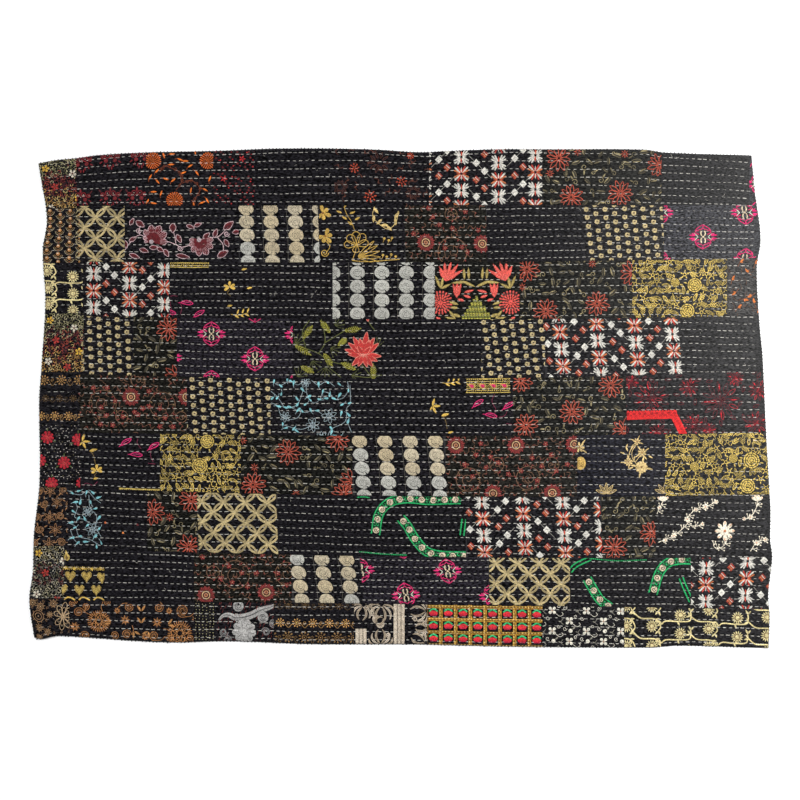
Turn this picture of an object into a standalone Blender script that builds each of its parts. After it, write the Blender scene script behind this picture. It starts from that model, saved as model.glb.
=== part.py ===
"""A twin-size kantha quilt lying flat, face up.

It is one sheet of layered cloth. Rows of running stitch pull the face down into long troughs, and the
cloth stands up between them. The rim is overcast, so it is thinner than the field. Metres, +Z up, +X along
the quilt's length, +Y towards its top edge, with the origin under the middle of its box on the floor.
"""

import math

import bmesh
import bpy

# Thickness of the layers, from the floor
CREST_HEIGHT = 0.0050
TROUGH_HEIGHT = 0.0032
RIM_HEIGHT = 0.0030

# How unevenly the layers are filled: (height, waves along X, waves along Y, turn of the wave)
UNEVENNESS = (
    (0.00035, 2.3, 3.1, 0.4),
    (0.00025, 5.7, 1.9, 2.1),
    (0.00020, 9.1, 7.3, 4.4),
)

# Outline of the top and bottom edges: (across, up)
TOP_EDGE = (
    (-1.132, 0.734),
    (-1.077, 0.744),
    (-1.015, 0.750),
    (-0.952, 0.759),
    (-0.800, 0.768),
    (-0.577, 0.773),
    (-0.390, 0.780),
    (-0.202, 0.780),
    (-0.077, 0.777),
    (0.054, 0.769),
    (0.154, 0.773),
    (0.298, 0.778),
    (0.498, 0.778),
    (0.763, 0.777),
    (0.823, 0.768),
    (1.096, 0.759),
)
BOTTOM_EDGE = (
    (-1.145, -0.747),
    (-1.121, -0.752),
    (-1.077, -0.742),
    (-1.015, -0.744),
    (-0.815, -0.758),
    (-0.702, -0.762),
    (-0.534, -0.758),
    (-0.284, -0.767),
    (0.048, -0.768),
    (0.360, -0.775),
    (0.779, -0.778),
    (0.873, -0.772),
    (1.149, -0.780),
)

# Outline of the side edges: (up, across)
LEFT_EDGE = (
    (0.734, -1.132),
    (0.688, -1.124),
    (0.559, -1.105),
    (0.462, -1.118),
    (0.306, -1.110),
    (0.112, -1.121),
    (-0.006, -1.129),
    (-0.200, -1.127),
    (-0.288, -1.130),
    (-0.428, -1.146),
    (-0.538, -1.149),
    (-0.631, -1.160),
    (-0.747, -1.145),
)
RIGHT_EDGE = (
    (0.759, 1.096),
    (0.656, 1.105),
    (0.500, 1.124),
    (0.406, 1.112),
    (0.228, 1.121),
    (0.134, 1.130),
    (-0.100, 1.141),
    (-0.294, 1.152),
    (-0.350, 1.155),
    (-0.444, 1.154),
    (-0.494, 1.160),
    (-0.612, 1.148),
    (-0.678, 1.152),
    (-0.780, 1.149),
)

# Height of each seam between two bands of patches: (at SEAM_REACH left, in the middle, at SEAM_REACH right)
SEAM_REACH = 1.0
SEAMS = (
    (0.601, 0.603, 0.603),
    (0.427, 0.425, 0.436),
    (0.258, 0.247, 0.255),
    (0.076, 0.061, 0.080),
    (-0.106, -0.117, -0.109),
    (-0.281, -0.305, -0.303),
    (-0.470, -0.494, -0.497),
    (-0.633, -0.642, -0.656),
)

# Rows of running stitch in each band, from the top edge down
STITCH_ROWS = (7, 8, 8, 8, 8, 8, 8, 7, 5)

COLUMNS = 32
CLOTH_COLOUR = (0.022, 0.021, 0.025, 1.0)
CLOTH_ROUGHNESS = 0.75


def smooth(table, place):
    """The second column of a table at a place in its first, on a curve through its rows."""
    rows = sorted(table)
    place = min(max(place, rows[0][0]), rows[-1][0])
    last = len(rows) - 1
    at = min(max(i for i in range(last) if rows[i][0] <= place), last - 1)

    def slope(i):
        before, after = rows[max(i - 1, 0)], rows[min(i + 1, last)]
        return (after[1] - before[1]) / (after[0] - before[0])

    (start, low), (end, high) = rows[at], rows[at + 1]
    span = end - start
    t = (place - start) / span
    rise = (3 - 2 * t) * t * t
    return (
        low
        + (high - low) * rise
        + slope(at) * span * t * (1 - t) ** 2
        - slope(at + 1) * span * t * t * (1 - t)
    )


def seam_height(seam, across):
    """Height of one seam, on the parabola through its three places."""
    left, middle, right = seam
    t = across / SEAM_REACH
    return middle + (right - left) / 2 * t + ((left + right) / 2 - middle) * t * t


def height_of(band, across):
    """Where a band coordinate, 0 at the top edge and one more at each seam, lies up the quilt."""
    heights = [smooth(TOP_EDGE, across)]
    heights += [seam_height(seam, across) for seam in SEAMS]
    heights.append(smooth(BOTTOM_EDGE, across))
    at = min(int(band), len(SEAMS))
    return heights[at] + (heights[at + 1] - heights[at]) * (band - at)


def place_of(share, band):
    """(across, up) of a place that is a share of the way from the left edge to the right one."""
    across = (2 * share - 1) * RIGHT_EDGE[0][1]
    for _ in range(3):
        up = height_of(band, across)
        left, right = smooth(LEFT_EDGE, up), smooth(RIGHT_EDGE, up)
        across = left + (right - left) * share
    return across, up


def unevenness(across, up):
    """How much higher than usual the filling is here."""
    return sum(
        height * math.sin(along * across + up_waves * up + turn)
        for height, along, up_waves, turn in UNEVENNESS
    )


def half_rows():
    """Band coordinates of the crests and troughs, each with whether it is a trough."""
    lines = [(0.0, False)]
    for band, rows in enumerate(STITCH_ROWS):
        for half in range(1, 2 * rows + 1):
            lines.append((band + half / (2 * rows), half % 2 == 1))
    return lines


def cloth_material():
    material = bpy.data.materials.new("black_cloth")
    material.use_nodes = True
    shader = material.node_tree.nodes["Principled BSDF"]
    shader.inputs["Base Color"].default_value = CLOTH_COLOUR
    shader.inputs["Roughness"].default_value = CLOTH_ROUGHNESS
    shader.inputs["Metallic"].default_value = 0.0
    return material


def lay_face(body, lines):
    """The quilted face, as rows of vertices from the top edge down, with its crests and troughs."""
    last = len(lines) - 1
    face = []
    for number, (band, is_trough) in enumerate(lines):
        row = []
        for column in range(COLUMNS + 1):
            across, up = place_of(column / COLUMNS, band)
            if number in (0, last) or column in (0, COLUMNS):
                height = RIM_HEIGHT
            else:
                height = TROUGH_HEIGHT if is_trough else CREST_HEIGHT
                height += unevenness(across, up)
            row.append(body.verts.new((across, up, height)))
        face.append(row)
    for upper, lower in zip(face, face[1:]):
        for column in range(COLUMNS):
            body.faces.new(
                (upper[column], lower[column], lower[column + 1], upper[column + 1])
            )
    return face


def close_underside(body, face):
    """The rim dropped to the floor, and the flat underside as one strip for each row."""
    rim = [edge for edge in body.edges if edge.is_boundary]
    bmesh.ops.extrude_edge_only(body, edges=rim)
    below = {}
    for edge in [edge for edge in body.edges if edge.is_boundary]:
        for vertex in edge.verts:
            vertex.co.z = 0.0
            above = [e.other_vert(vertex) for e in vertex.link_edges if not e.is_boundary]
            below[above[0]] = vertex
    top = [below[vertex] for vertex in face[0]]
    bottom = [below[vertex] for vertex in face[-1]]
    lefts = [below[row[0]] for row in face]
    rights = [below[row[-1]] for row in face]
    body.faces.new(top + [rights[1], lefts[1]])
    for upper in range(1, len(face) - 2):
        body.faces.new(
            (lefts[upper], rights[upper], rights[upper + 1], lefts[upper + 1])
        )
    body.faces.new([lefts[-2], rights[-2]] + bottom[::-1])


def centre_on_origin(body):
    """Moves the quilt so that the middle of its box is over the origin."""
    for axis in (0, 1):
        places = [vertex.co[axis] for vertex in body.verts]
        middle = (min(places) + max(places)) / 2
        for vertex in body.verts:
            vertex.co[axis] -= middle


def build_quilt():
    body = bmesh.new()
    face = lay_face(body, half_rows())
    close_underside(body, face)
    centre_on_origin(body)
    bmesh.ops.recalc_face_normals(body, faces=body.faces)
    mesh = bpy.data.meshes.new("quilt")
    body.to_mesh(mesh)
    body.free()
    mesh.materials.append(cloth_material())
    mesh.shade_smooth()
    mesh.set_sharp_from_angle(angle=math.radians(40))
    quilt = bpy.data.objects.new("quilt", mesh)
    bpy.context.collection.objects.link(quilt)
    return quilt


for leftover in list(bpy.data.objects):
    bpy.data.objects.remove(leftover)
build_quilt()
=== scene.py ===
import math
from functools import lru_cache

import bpy
import numpy as np
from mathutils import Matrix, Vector


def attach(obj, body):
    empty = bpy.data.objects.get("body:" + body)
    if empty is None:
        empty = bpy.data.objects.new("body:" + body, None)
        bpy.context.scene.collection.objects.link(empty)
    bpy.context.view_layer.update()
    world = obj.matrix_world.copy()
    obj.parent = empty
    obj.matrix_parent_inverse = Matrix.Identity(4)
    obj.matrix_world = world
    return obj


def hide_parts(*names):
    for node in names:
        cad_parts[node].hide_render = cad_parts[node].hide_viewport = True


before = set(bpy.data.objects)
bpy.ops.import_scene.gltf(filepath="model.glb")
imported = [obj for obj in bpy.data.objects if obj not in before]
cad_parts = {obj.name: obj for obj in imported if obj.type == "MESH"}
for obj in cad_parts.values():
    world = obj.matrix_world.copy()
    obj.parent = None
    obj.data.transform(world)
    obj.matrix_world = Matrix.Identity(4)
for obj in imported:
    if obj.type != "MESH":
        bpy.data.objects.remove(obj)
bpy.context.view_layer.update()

# The looks of a patchwork kantha quilt. Every patch is its own piece of cloth on the quilted layers, and its
# embroidery is thread lying on that cloth. Places on a patch are in millimetres from its top left corner,
# x to the right and y down. Places on the quilt are in metres, as in the solid.

# Thickness of the layers, from the floor
CREST_HEIGHT = 0.0050
TROUGH_HEIGHT = 0.0031
RIM_HEIGHT = 0.0028
RIM_REACH = 0.012

# How unevenly the layers are filled: (height, waves along X, waves along Y, turn of the wave)
UNEVENNESS = (
    (0.00035, 2.3, 3.1, 0.4),
    (0.00025, 5.7, 1.9, 2.1),
    (0.00020, 9.1, 7.3, 4.4),
)

# Outline of the top and bottom edges: (across, up)
TOP_EDGE = (
    (-1.132, 0.734),
    (-1.077, 0.744),
    (-1.015, 0.750),
    (-0.952, 0.759),
    (-0.800, 0.768),
    (-0.577, 0.773),
    (-0.390, 0.780),
    (-0.202, 0.780),
    (-0.077, 0.777),
    (0.054, 0.769),
    (0.154, 0.773),
    (0.298, 0.778),
    (0.498, 0.778),
    (0.763, 0.777),
    (0.823, 0.768),
    (1.096, 0.759),
)
BOTTOM_EDGE = (
    (-1.145, -0.747),
    (-1.121, -0.752),
    (-1.077, -0.742),
    (-1.015, -0.744),
    (-0.815, -0.758),
    (-0.702, -0.762),
    (-0.534, -0.758),
    (-0.284, -0.767),
    (0.048, -0.768),
    (0.360, -0.775),
    (0.779, -0.778),
    (0.873, -0.772),
    (1.149, -0.780),
)

# Outline of the side edges: (up, across)
LEFT_EDGE = (
    (0.734, -1.132),
    (0.688, -1.124),
    (0.559, -1.105),
    (0.462, -1.118),
    (0.306, -1.110),
    (0.112, -1.121),
    (-0.006, -1.129),
    (-0.200, -1.127),
    (-0.288, -1.130),
    (-0.428, -1.146),
    (-0.538, -1.149),
    (-0.631, -1.160),
    (-0.747, -1.145),
)
RIGHT_EDGE = (
    (0.759, 1.096),
    (0.656, 1.105),
    (0.500, 1.124),
    (0.406, 1.112),
    (0.228, 1.121),
    (0.134, 1.130),
    (-0.100, 1.141),
    (-0.294, 1.152),
    (-0.350, 1.155),
    (-0.444, 1.154),
    (-0.494, 1.160),
    (-0.612, 1.148),
    (-0.678, 1.152),
    (-0.780, 1.149),
)

# Height of each seam between two bands of patches: (at SEAM_REACH left, in the middle, at SEAM_REACH right)
SEAM_REACH = 1.0
SEAMS = (
    (0.601, 0.603, 0.603),
    (0.427, 0.425, 0.436),
    (0.258, 0.247, 0.255),
    (0.076, 0.061, 0.080),
    (-0.106, -0.117, -0.109),
    (-0.281, -0.305, -0.303),
    (-0.470, -0.494, -0.497),
    (-0.633, -0.642, -0.656),
)
STITCH_ROWS = (7, 8, 8, 8, 8, 8, 8, 7, 5)

# Seams of the border column down the left side, from the top, in metres
BORDER_SEAMS = (0.594, 0.423, 0.266, 0.082, -0.082, -0.278, -0.461, -0.625)
BORDER_LIFT = 0.0006
TUCK = 30.0

# The layout table counts in steps of 3.125 mm from a line 400.75 steps left of the middle
STEP = 0.003125
MIDDLE_STEP = 400.75

SEED = 1564


def smooth(table, place):
    """The second column of a table at a place in its first, on a curve through its rows."""
    rows = sorted(table)
    place = min(max(place, rows[0][0]), rows[-1][0])
    last = len(rows) - 1
    at = min(max(i for i in range(last) if rows[i][0] <= place), last - 1)

    def slope(i):
        before, after = rows[max(i - 1, 0)], rows[min(i + 1, last)]
        return (after[1] - before[1]) / (after[0] - before[0])

    (start, low), (end, high) = rows[at], rows[at + 1]
    span = end - start
    t = (place - start) / span
    rise = (3 - 2 * t) * t * t
    return (
        low
        + (high - low) * rise
        + slope(at) * span * t * (1 - t) ** 2
        - slope(at + 1) * span * t * t * (1 - t)
    )


PLACES = np.linspace(-1.2, 1.2, 961)


def sampled(table):
    return np.array([smooth(table, place) for place in PLACES])


def seam_curve(seam):
    """Height of one seam at every place, on the parabola through its three places."""
    left, middle, right = seam
    t = PLACES / SEAM_REACH
    return middle + (right - left) / 2 * t + ((left + right) / 2 - middle) * t * t


LEFT_CURVE = sampled(LEFT_EDGE)
RIGHT_CURVE = sampled(RIGHT_EDGE)
BAND_CURVES = [sampled(TOP_EDGE)] + [seam_curve(seam) for seam in SEAMS] + [sampled(BOTTOM_EDGE)]


def on_curve(curve, places):
    return np.interp(places, PLACES, curve)


def centre_of_outline():
    """The middle of the outline's box, which the solid has over its origin."""
    ups = np.linspace(-0.745, 0.73, 200)
    across = np.linspace(-1.13, 1.1, 200)
    left, right = on_curve(LEFT_CURVE, ups).min(), on_curve(RIGHT_CURVE, ups).max()
    top, bottom = on_curve(BAND_CURVES[0], across).max(), on_curve(BAND_CURVES[-1], across).min()
    return (left + right) / 2, (top + bottom) / 2


def waver(across, up):
    """How far down the hand-sewn rows stray from straight ones. They droop towards the right."""
    droop = np.clip((across - 0.62) / 0.5, 0, 1) ** 1.5 * np.clip((up + 0.78) / 0.4, 0, 1)
    sway = 0.0016 * np.sin(11.0 * across + 9.0 * up) + 0.0006 * np.sin(43.0 * across - 21.0 * up)
    return 0.014 * droop + sway


def band_of(across, up):
    """Band coordinate of a place: 0 at the top edge and one more at each seam."""
    heights = np.stack([on_curve(curve, across) for curve in BAND_CURVES])
    at = np.clip((heights[1:-1] > up).sum(0), 0, len(SEAMS))
    upper = np.take_along_axis(heights, at[None], 0)[0]
    lower = np.take_along_axis(heights, at[None] + 1, 0)[0]
    return at + np.clip((upper - up) / (upper - lower), 0, 0.9999)


def relief(across, up):
    """Height of the quilted face above the floor."""
    band = band_of(across, up + waver(across, up))
    at = band.astype(int)
    row = (band - at) * np.array(STITCH_ROWS)[at]
    from_trough = np.abs(row % 1.0 - 0.5) * 2
    loft = 1 - (1 - from_trough) ** 2.3
    pucker = np.cos(2 * np.pi * across / 0.011 + 2.4 * np.floor(row) + 1.3 * at)
    height = TROUGH_HEIGHT + (CREST_HEIGHT - TROUGH_HEIGHT) * loft
    height = height + 0.00022 * pucker * (1 - from_trough * 0.6)
    height = height + 0.00018 * np.sin(61 * across + 3 * np.sin(27 * up)) * from_trough
    for rise, along, up_waves, turn in UNEVENNESS:
        height = height + rise * np.sin(along * across + up_waves * up + turn)
    to_rim = np.minimum.reduce(
        [
            on_curve(BAND_CURVES[0], across) - up,
            up - on_curve(BAND_CURVES[-1], across),
            across - on_curve(LEFT_CURVE, up),
            on_curve(RIGHT_CURVE, up) - across,
        ]
    )
    inside = np.clip(to_rim / RIM_REACH, 0, 1)
    inside = np.sqrt(inside * (2 - inside))
    return RIM_HEIGHT + (height - RIM_HEIGHT) * inside


# Shapes of thread. Each is (places, faces): a place is (x, y, lift, ridge), with ridge counting threads

THREAD_PITCH = 0.9
STEP_OF_LINE = 4.2


def faces_between(first, second, closed):
    """Triangles between two rows of vertices."""
    pairs = len(first) if closed else len(first) - 1
    faces = []
    for i in range(pairs):
        j = (i + 1) % len(first)
        faces.append((first[i], first[j], second[j]))
        faces.append((first[i], second[j], second[i]))
    return faces


@lru_cache(maxsize=None)
def crown(outline, rise, grain=0.0, vein=0.0, rings=(1.0, 0.66)):
    """A raised filling of an outline, with its threads across the direction of grain, in degrees."""
    outline = np.array(outline, float)
    centre = outline.mean(0)
    turn = math.radians(grain)
    count = len(outline)
    rows = []
    for ring in rings:
        places = centre + (outline - centre) * ring
        rows.append(np.column_stack((places, np.full(count, rise * (1 - ring**3)))))
    places = np.vstack(rows + [[(*centre, rise)]])
    along = places[:, 0] * math.cos(turn) + places[:, 1] * math.sin(turn)
    aside = np.abs(places[:, 1] * math.cos(turn) - places[:, 0] * math.sin(turn))
    ridge = (along + vein * aside) / THREAD_PITCH
    faces = []
    for ring in range(len(rings) - 1):
        first = [ring * count + i for i in range(count)]
        faces += faces_between(first, [i + count for i in first], True)
    inner = (len(rings) - 1) * count
    faces += [(inner + i, inner + (i + 1) % count, len(rings) * count) for i in range(count)]
    return np.column_stack((places, ridge)), np.array(faces)


def oval_outline(radius_x, radius_y, sides):
    turns = [2 * math.pi * i / sides for i in range(sides)]
    return tuple((radius_x * math.cos(turn), radius_y * math.sin(turn)) for turn in turns)


@lru_cache(maxsize=None)
def oval(radius_x, radius_y=None, rise=0.7, sides=10):
    return crown(oval_outline(radius_x, radius_y or radius_x, sides), rise, grain=90)


# Half outlines of blades that point along x: (share of the length, share of half the width)
LEAF = ((0.0, 0.0), (0.2, 0.72), (0.45, 1.0), (0.75, 0.66), (1.0, 0.0))
PETAL = ((0.0, 0.22), (0.3, 0.66), (0.62, 1.0), (0.88, 0.72), (1.0, 0.0))
STROKE = ((0.0, 0.5), (0.2, 1.0), (0.8, 1.0), (1.0, 0.5))
DROP = ((0.0, 0.0), (0.3, 0.3), (0.62, 1.0), (0.86, 0.86), (1.0, 0.0))


@lru_cache(maxsize=None)
def blade_outline(profile, length, width, start=0.0):
    upper = [(start + length * along, width / 2 * half) for along, half in profile]
    lower = [(x, -y) for x, y in reversed(upper) if y]
    return tuple(upper + lower)


@lru_cache(maxsize=None)
def blade(profile, length, width, start=0.0, rise=0.6, vein=0.6):
    return crown(blade_outline(profile, length, width, start), rise, 0.0, vein)


def curve(points, step=STEP_OF_LINE, closed=False):
    """Places close together on a smooth curve through some points."""
    points = np.array(points, float)
    if closed:
        padded = np.vstack((points[-1:], points, points[:2]))
    else:
        padded = np.vstack((2 * points[:1] - points[1:2], points, 2 * points[-1:] - points[-2:-1]))
    pieces = []
    for before, start, end, after in zip(padded, padded[1:], padded[2:], padded[3:]):
        count = max(math.ceil(np.hypot(*(end - start)) / step), 1)
        t = np.arange(count)[:, None] / count
        pieces.append(
            0.5
            * (
                2 * start
                + (end - before) * t
                + (2 * before - 5 * start + 4 * end - after) * t**2
                + (3 * start - before - 3 * end + after) * t**3
            )
        )
    if not closed:
        pieces.append(points[-1:])
    return np.vstack(pieces)


def ribbon(points, width, rise, closed=False, taper=False):
    """A raised line of thread along some places."""
    points = np.array(points, float)
    if closed:
        along = np.roll(points, -1, 0) - np.roll(points, 1, 0)
    else:
        along = np.gradient(points, axis=0)
    along /= np.maximum(np.hypot(along[:, 0], along[:, 1]), 1e-6)[:, None]
    aside = np.column_stack((-along[:, 1], along[:, 0])) * width / 2
    if taper:
        aside = aside * np.sin(np.linspace(0.25, math.pi - 0.25, len(points)))[:, None]
    gaps = np.hypot(*np.diff(points, axis=0).T)
    run = np.concatenate(([0], np.cumsum(gaps))) / (THREAD_PITCH * 1.6)
    count = len(points)
    places = np.zeros((3 * count, 4))
    for row, (shift, lift, slant) in enumerate(((-1, 0, -0.35), (0, rise, 0), (1, 0, 0.35))):
        part = slice(row * count, (row + 1) * count)
        places[part, :2] = points + aside * shift
        places[part, 2] = lift
        places[part, 3] = run + slant
    rows = [[row * count + i for i in range(count)] for row in range(3)]
    faces = faces_between(rows[0], rows[1], closed) + faces_between(rows[1], rows[2], closed)
    return places, np.array(faces)


def ring_points(radius, x=0.0, y=0.0, sides=10, squash=1.0):
    return [(x + px, y + py) for px, py in oval_outline(radius, radius * squash, sides)]


def spiral_points(radius, x, y, turns=1.6, start=0.0, hand=1):
    """Points from the outside of a curl to its middle."""
    count = int(turns * 8) + 1
    points = []
    for i in range(count):
        share = i / (count - 1)
        reach = radius * (1 - 0.82 * share)
        turn = math.radians(start) + hand * turns * 2 * math.pi * share
        points.append((x + reach * math.cos(turn), y + reach * math.sin(turn)))
    return points


def turned(points, degrees, x=0.0, y=0.0, size=1.0):
    """Points turned about (0, 0) and then moved."""
    turn = math.radians(degrees)
    cos, sin = math.cos(turn) * size, math.sin(turn) * size
    return [(x + px * cos - py * sin, y + px * sin + py * cos) for px, py in points]


def linear(colour):
    """An sRGB colour, 0 to 255, as linear light."""
    share = np.array(colour, float) / 255
    return np.where(share <= 0.04045, share / 12.92, ((share + 0.055) / 1.055) ** 2.4)


# Patches

EDGE_LIFT = 0.12
COLUMN_WIDTH = 5.6
FOLD_WIDTH = 2.4
FOLD_DROP = 0.0012
ROW_PHASES = (0.0, 0.3, 0.5, 0.7)
BORDER_ROW = 4.6
SILK, ZARI, BRIGHT = 0.0, 0.6, 1.0


class Patch:
    """One patch of the quilt, its cloth and the thread on it."""

    def __init__(self, band, left, right, lean, number):
        self.band = band
        self.is_border = right is not None and right < 90 and left is None
        self.left = None if left is None else (left - MIDDLE_STEP) * STEP
        self.right = None if right is None else (right - MIDDLE_STEP) * STEP
        self.lean = lean * STEP
        self.number = number
        self.random = np.random.default_rng(SEED + number)
        self.width, self.height = 1.0, 1.0
        corners = self.place(np.array([0.0, 1.0, 0.5, 0.5]), np.array([0.5, 0.5, 0.0, 1.0]))
        self.width = (corners[0][1] - corners[0][0]) * 1000
        self.height = (corners[1][2] - corners[1][3]) * 1000
        self.places, self.faces, self.count = [], [], 0
        self.low_x = -TUCK if left is not None and left < 110 else 0.0
        self.xs = self.columns()
        self.ys = self.rows()

    def top_and_bottom(self, across):
        if not self.is_border:
            return on_curve(BAND_CURVES[self.band - 1], across), on_curve(BAND_CURVES[self.band], across)
        last = len(BORDER_SEAMS)
        top = BORDER_SEAMS[self.band - 2] if self.band > 1 else on_curve(BAND_CURVES[0], across)
        bottom = BORDER_SEAMS[self.band - 1] if self.band <= last else on_curve(BAND_CURVES[-1], across)
        return top, bottom

    def place(self, x, y):
        """(across, up) on the quilt of places on the patch."""
        share, drop = np.asarray(x) / self.width, np.asarray(y) / self.height
        lean = self.lean * (drop - 0.5)
        across = np.zeros_like(share) - 1.1 if self.left is None else self.left + share * 0.1
        for _ in range(4):
            top, bottom = self.top_and_bottom(across)
            up = top + (bottom - top) * drop
            left = on_curve(LEFT_CURVE, up) if self.left is None else self.left + lean
            right = on_curve(RIGHT_CURVE, up) if self.right is None else self.right + lean
            across = left + (right - left) * share
        return across, up

    def columns(self):
        inner = self.width - self.low_x - 2 * FOLD_WIDTH
        count = max(round(inner / COLUMN_WIDTH), 2)
        middle = np.linspace(self.low_x + FOLD_WIDTH, self.width - FOLD_WIDTH, count + 1)
        return np.concatenate(([self.low_x], middle, [self.width]))

    def rows(self):
        if self.is_border:
            count = round(self.height / BORDER_ROW)
            middle = np.linspace(FOLD_WIDTH, self.height - FOLD_WIDTH, count)
        else:
            rows = STITCH_ROWS[self.band - 1]
            phases = np.array([row + phase for row in range(rows) for phase in ROW_PHASES][1:])
            middle = np.concatenate(([FOLD_WIDTH], phases * self.height / rows, [self.height - FOLD_WIDTH]))
        return np.concatenate(([0.0], middle, [self.height]))

    def lay_cloth(self):
        """The cloth's vertices and faces, with its edges folded under."""
        x, y = np.meshgrid(self.xs, self.ys)
        across, up = self.place(x.ravel(), y.ravel())
        height = relief(across, up).reshape(x.shape)
        if self.is_border:
            height = height + BORDER_LIFT
        for edge in (np.s_[0, :], np.s_[-1, :], np.s_[:, 0], np.s_[:, -1]):
            height[edge] = np.minimum(height[edge], height[edge] * 0 + height.max()) - FOLD_DROP
        for edge in (np.s_[1, 1:-1], np.s_[-2, 1:-1], np.s_[1:-1, 1], np.s_[1:-1, -2]):
            height[edge] -= FOLD_DROP * 0.15
        self.heights = np.maximum(height, 0.0008)
        places = np.column_stack((across, up, self.heights.ravel()))
        rows, columns = x.shape
        corner = (np.arange(rows - 1)[:, None] * columns + np.arange(columns - 1)).ravel()
        faces = np.column_stack((corner, corner + columns, corner + columns + 1, corner + 1))
        return places, faces

    def height_at(self, x, y):
        """Height of the laid cloth at places on the patch."""
        column = np.clip(np.searchsorted(self.xs, x) - 1, 0, len(self.xs) - 2)
        row = np.clip(np.searchsorted(self.ys, y) - 1, 0, len(self.ys) - 2)
        u = (x - self.xs[column]) / (self.xs[column + 1] - self.xs[column])
        v = (y - self.ys[row]) / (self.ys[row + 1] - self.ys[row])
        h = self.heights
        upper = h[row, column] * (1 - u) + h[row, column + 1] * u
        lower = h[row + 1, column] * (1 - u) + h[row + 1, column + 1] * u
        return upper * (1 - v) + lower * v

    def add(self, shape, colour, over=0.0, shine=SILK, spread=0.1):
        places, faces = shape
        shade = 1 + self.random.uniform(-spread, spread)
        data = np.empty((len(places), 9))
        data[:, :2] = places[:, :2]
        data[:, 2] = places[:, 2] + EDGE_LIFT + over
        data[:, 3:6] = linear(colour) * shade
        data[:, 6] = places[:, 3]
        data[:, 7] = self.random.uniform()
        data[:, 8] = shine
        self.places.append(data)
        self.faces.append(faces + self.count)
        self.count += len(places)

    def stamp(self, shape, x, y, colour, turn=0.0, size=1.0, over=0.0, shine=SILK):
        """Sews one shape at a place, turned clockwise by some degrees."""
        if not (-60 < x < self.width + 60 and -60 < y < self.height + 60):
            return
        places, faces = shape
        angle = math.radians(turn)
        cos, sin = math.cos(angle) * size, math.sin(angle) * size
        moved = places.copy()
        moved[:, 0] = x + places[:, 0] * cos - places[:, 1] * sin
        moved[:, 1] = y + places[:, 0] * sin + places[:, 1] * cos
        self.add((moved, faces), colour, over, shine)

    def line(self, points, width, colour, over=0.0, shine=SILK, closed=False, taper=False, rise=None):
        """Sews a line of thread along a smooth curve through some points."""
        rise = min(0.25 + width * 0.12, 0.8) if rise is None else rise
        step = min(max(width * 1.6, 2.2), STEP_OF_LINE)
        self.add(ribbon(curve(points, step, closed), width, rise, closed, taper), colour, over, shine)

    def outline(self, outline, x, y, width, colour, turn=0.0, size=1.0, over=0.0, shine=SILK):
        self.line(turned(outline, turn, x, y, size), width, colour, over, shine, closed=True)

    def ring(self, x, y, radius, width, colour, over=0.0, shine=SILK, squash=1.0):
        self.line(ring_points(radius, x, y, squash=squash), width, colour, over, shine, closed=True)

    def curl(self, x, y, radius, width, colour, turns=1.4, start=0.0, hand=1, over=0.0, shine=SILK):
        self.line(spiral_points(radius, x, y, turns, start, hand), width, colour, over, shine)

    def petals(self, x, y, count, shape, colour, turn=0.0, over=0.0, shine=SILK, size=1.0):
        """Sews a shape again and again round a place."""
        for number in range(count):
            self.stamp(shape, x, y, colour, turn + 360 * number / count, size, over, shine)

    def scattered(self, spacing, jitter, clear=()):
        """Places about one spacing apart all over the patch, away from the clear places (x, y, radius)."""
        for row in range(int(self.height / spacing) + 2):
            for column in range(int(self.width / spacing) + 2):
                x = (column + 0.5 * (row % 2)) * spacing + self.random.normal(0, jitter)
                y = (row + 0.2) * spacing + self.random.normal(0, jitter)
                if all(math.hypot(x - cx, y - cy) > radius for cx, cy, radius in clear):
                    yield x, y

    def sewn(self):
        """The thread's vertices on the quilt, its faces, and its data, cut off at the patch's edges."""
        data, faces = np.vstack(self.places), np.vstack(self.faces)
        inset = 0.7
        for axis, limit, sign in (
            (0, max(self.low_x, -8.0) + inset, 1),
            (0, self.width - inset, -1),
            (1, inset, 1),
            (1, self.height - inset, -1),
        ):
            data, faces = cut(data, faces, (data[:, axis] - limit) * sign)
        used, numbers = np.unique(faces, return_inverse=True)
        data, faces = data[used], numbers.reshape(-1, 3)
        across, up = self.place(data[:, 0], data[:, 1])
        height = self.height_at(data[:, 0], data[:, 1]) + data[:, 2] * 0.001
        places = np.column_stack((across, up, height))
        first, second, third = (places[faces[:, i], :2] for i in range(3))
        one, two = second - first, third - first
        below = one[:, 0] * two[:, 1] - one[:, 1] * two[:, 0] < 0
        faces[below] = faces[below][:, ::-1]
        return places, faces, data[:, 3:]


def cut(data, faces, side):
    """The part of a mesh where side is positive."""
    if not len(faces):
        return data, faces
    inside = side[faces] >= 0
    count = inside.sum(1)
    kept = [faces[count == 3]]
    added = []
    start = len(data)
    for wanted, lone_is_inside in ((1, True), (2, False)):
        part = faces[count == wanted]
        if not len(part):
            continue
        lone = (inside[count == wanted] == lone_is_inside).argmax(1)
        a = part[np.arange(len(part)), lone]
        b = part[np.arange(len(part)), (lone + 1) % 3]
        c = part[np.arange(len(part)), (lone + 2) % 3]
        ab, ac = (
            data[a] + (data[other] - data[a]) * (side[a] / (side[a] - side[other]))[:, None]
            for other in (b, c)
        )
        first = start + sum(len(rows) for rows in added) + np.arange(len(part))
        second = first + len(part)
        added += [ab, ac]
        if lone_is_inside:
            kept.append(np.column_stack((a, first, second)))
        else:
            kept.append(np.column_stack((first, b, c)))
            kept.append(np.column_stack((first, c, second)))
    return np.vstack([data] + added), np.vstack(kept)


# Thread colours, sRGB
GOLD = (204, 178, 94)
SILVER = (172, 171, 163)
PINK = (214, 38, 108)
MAGENTA = (198, 32, 96)
BLACK = (24, 23, 25)


# Small regular designs


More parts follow.
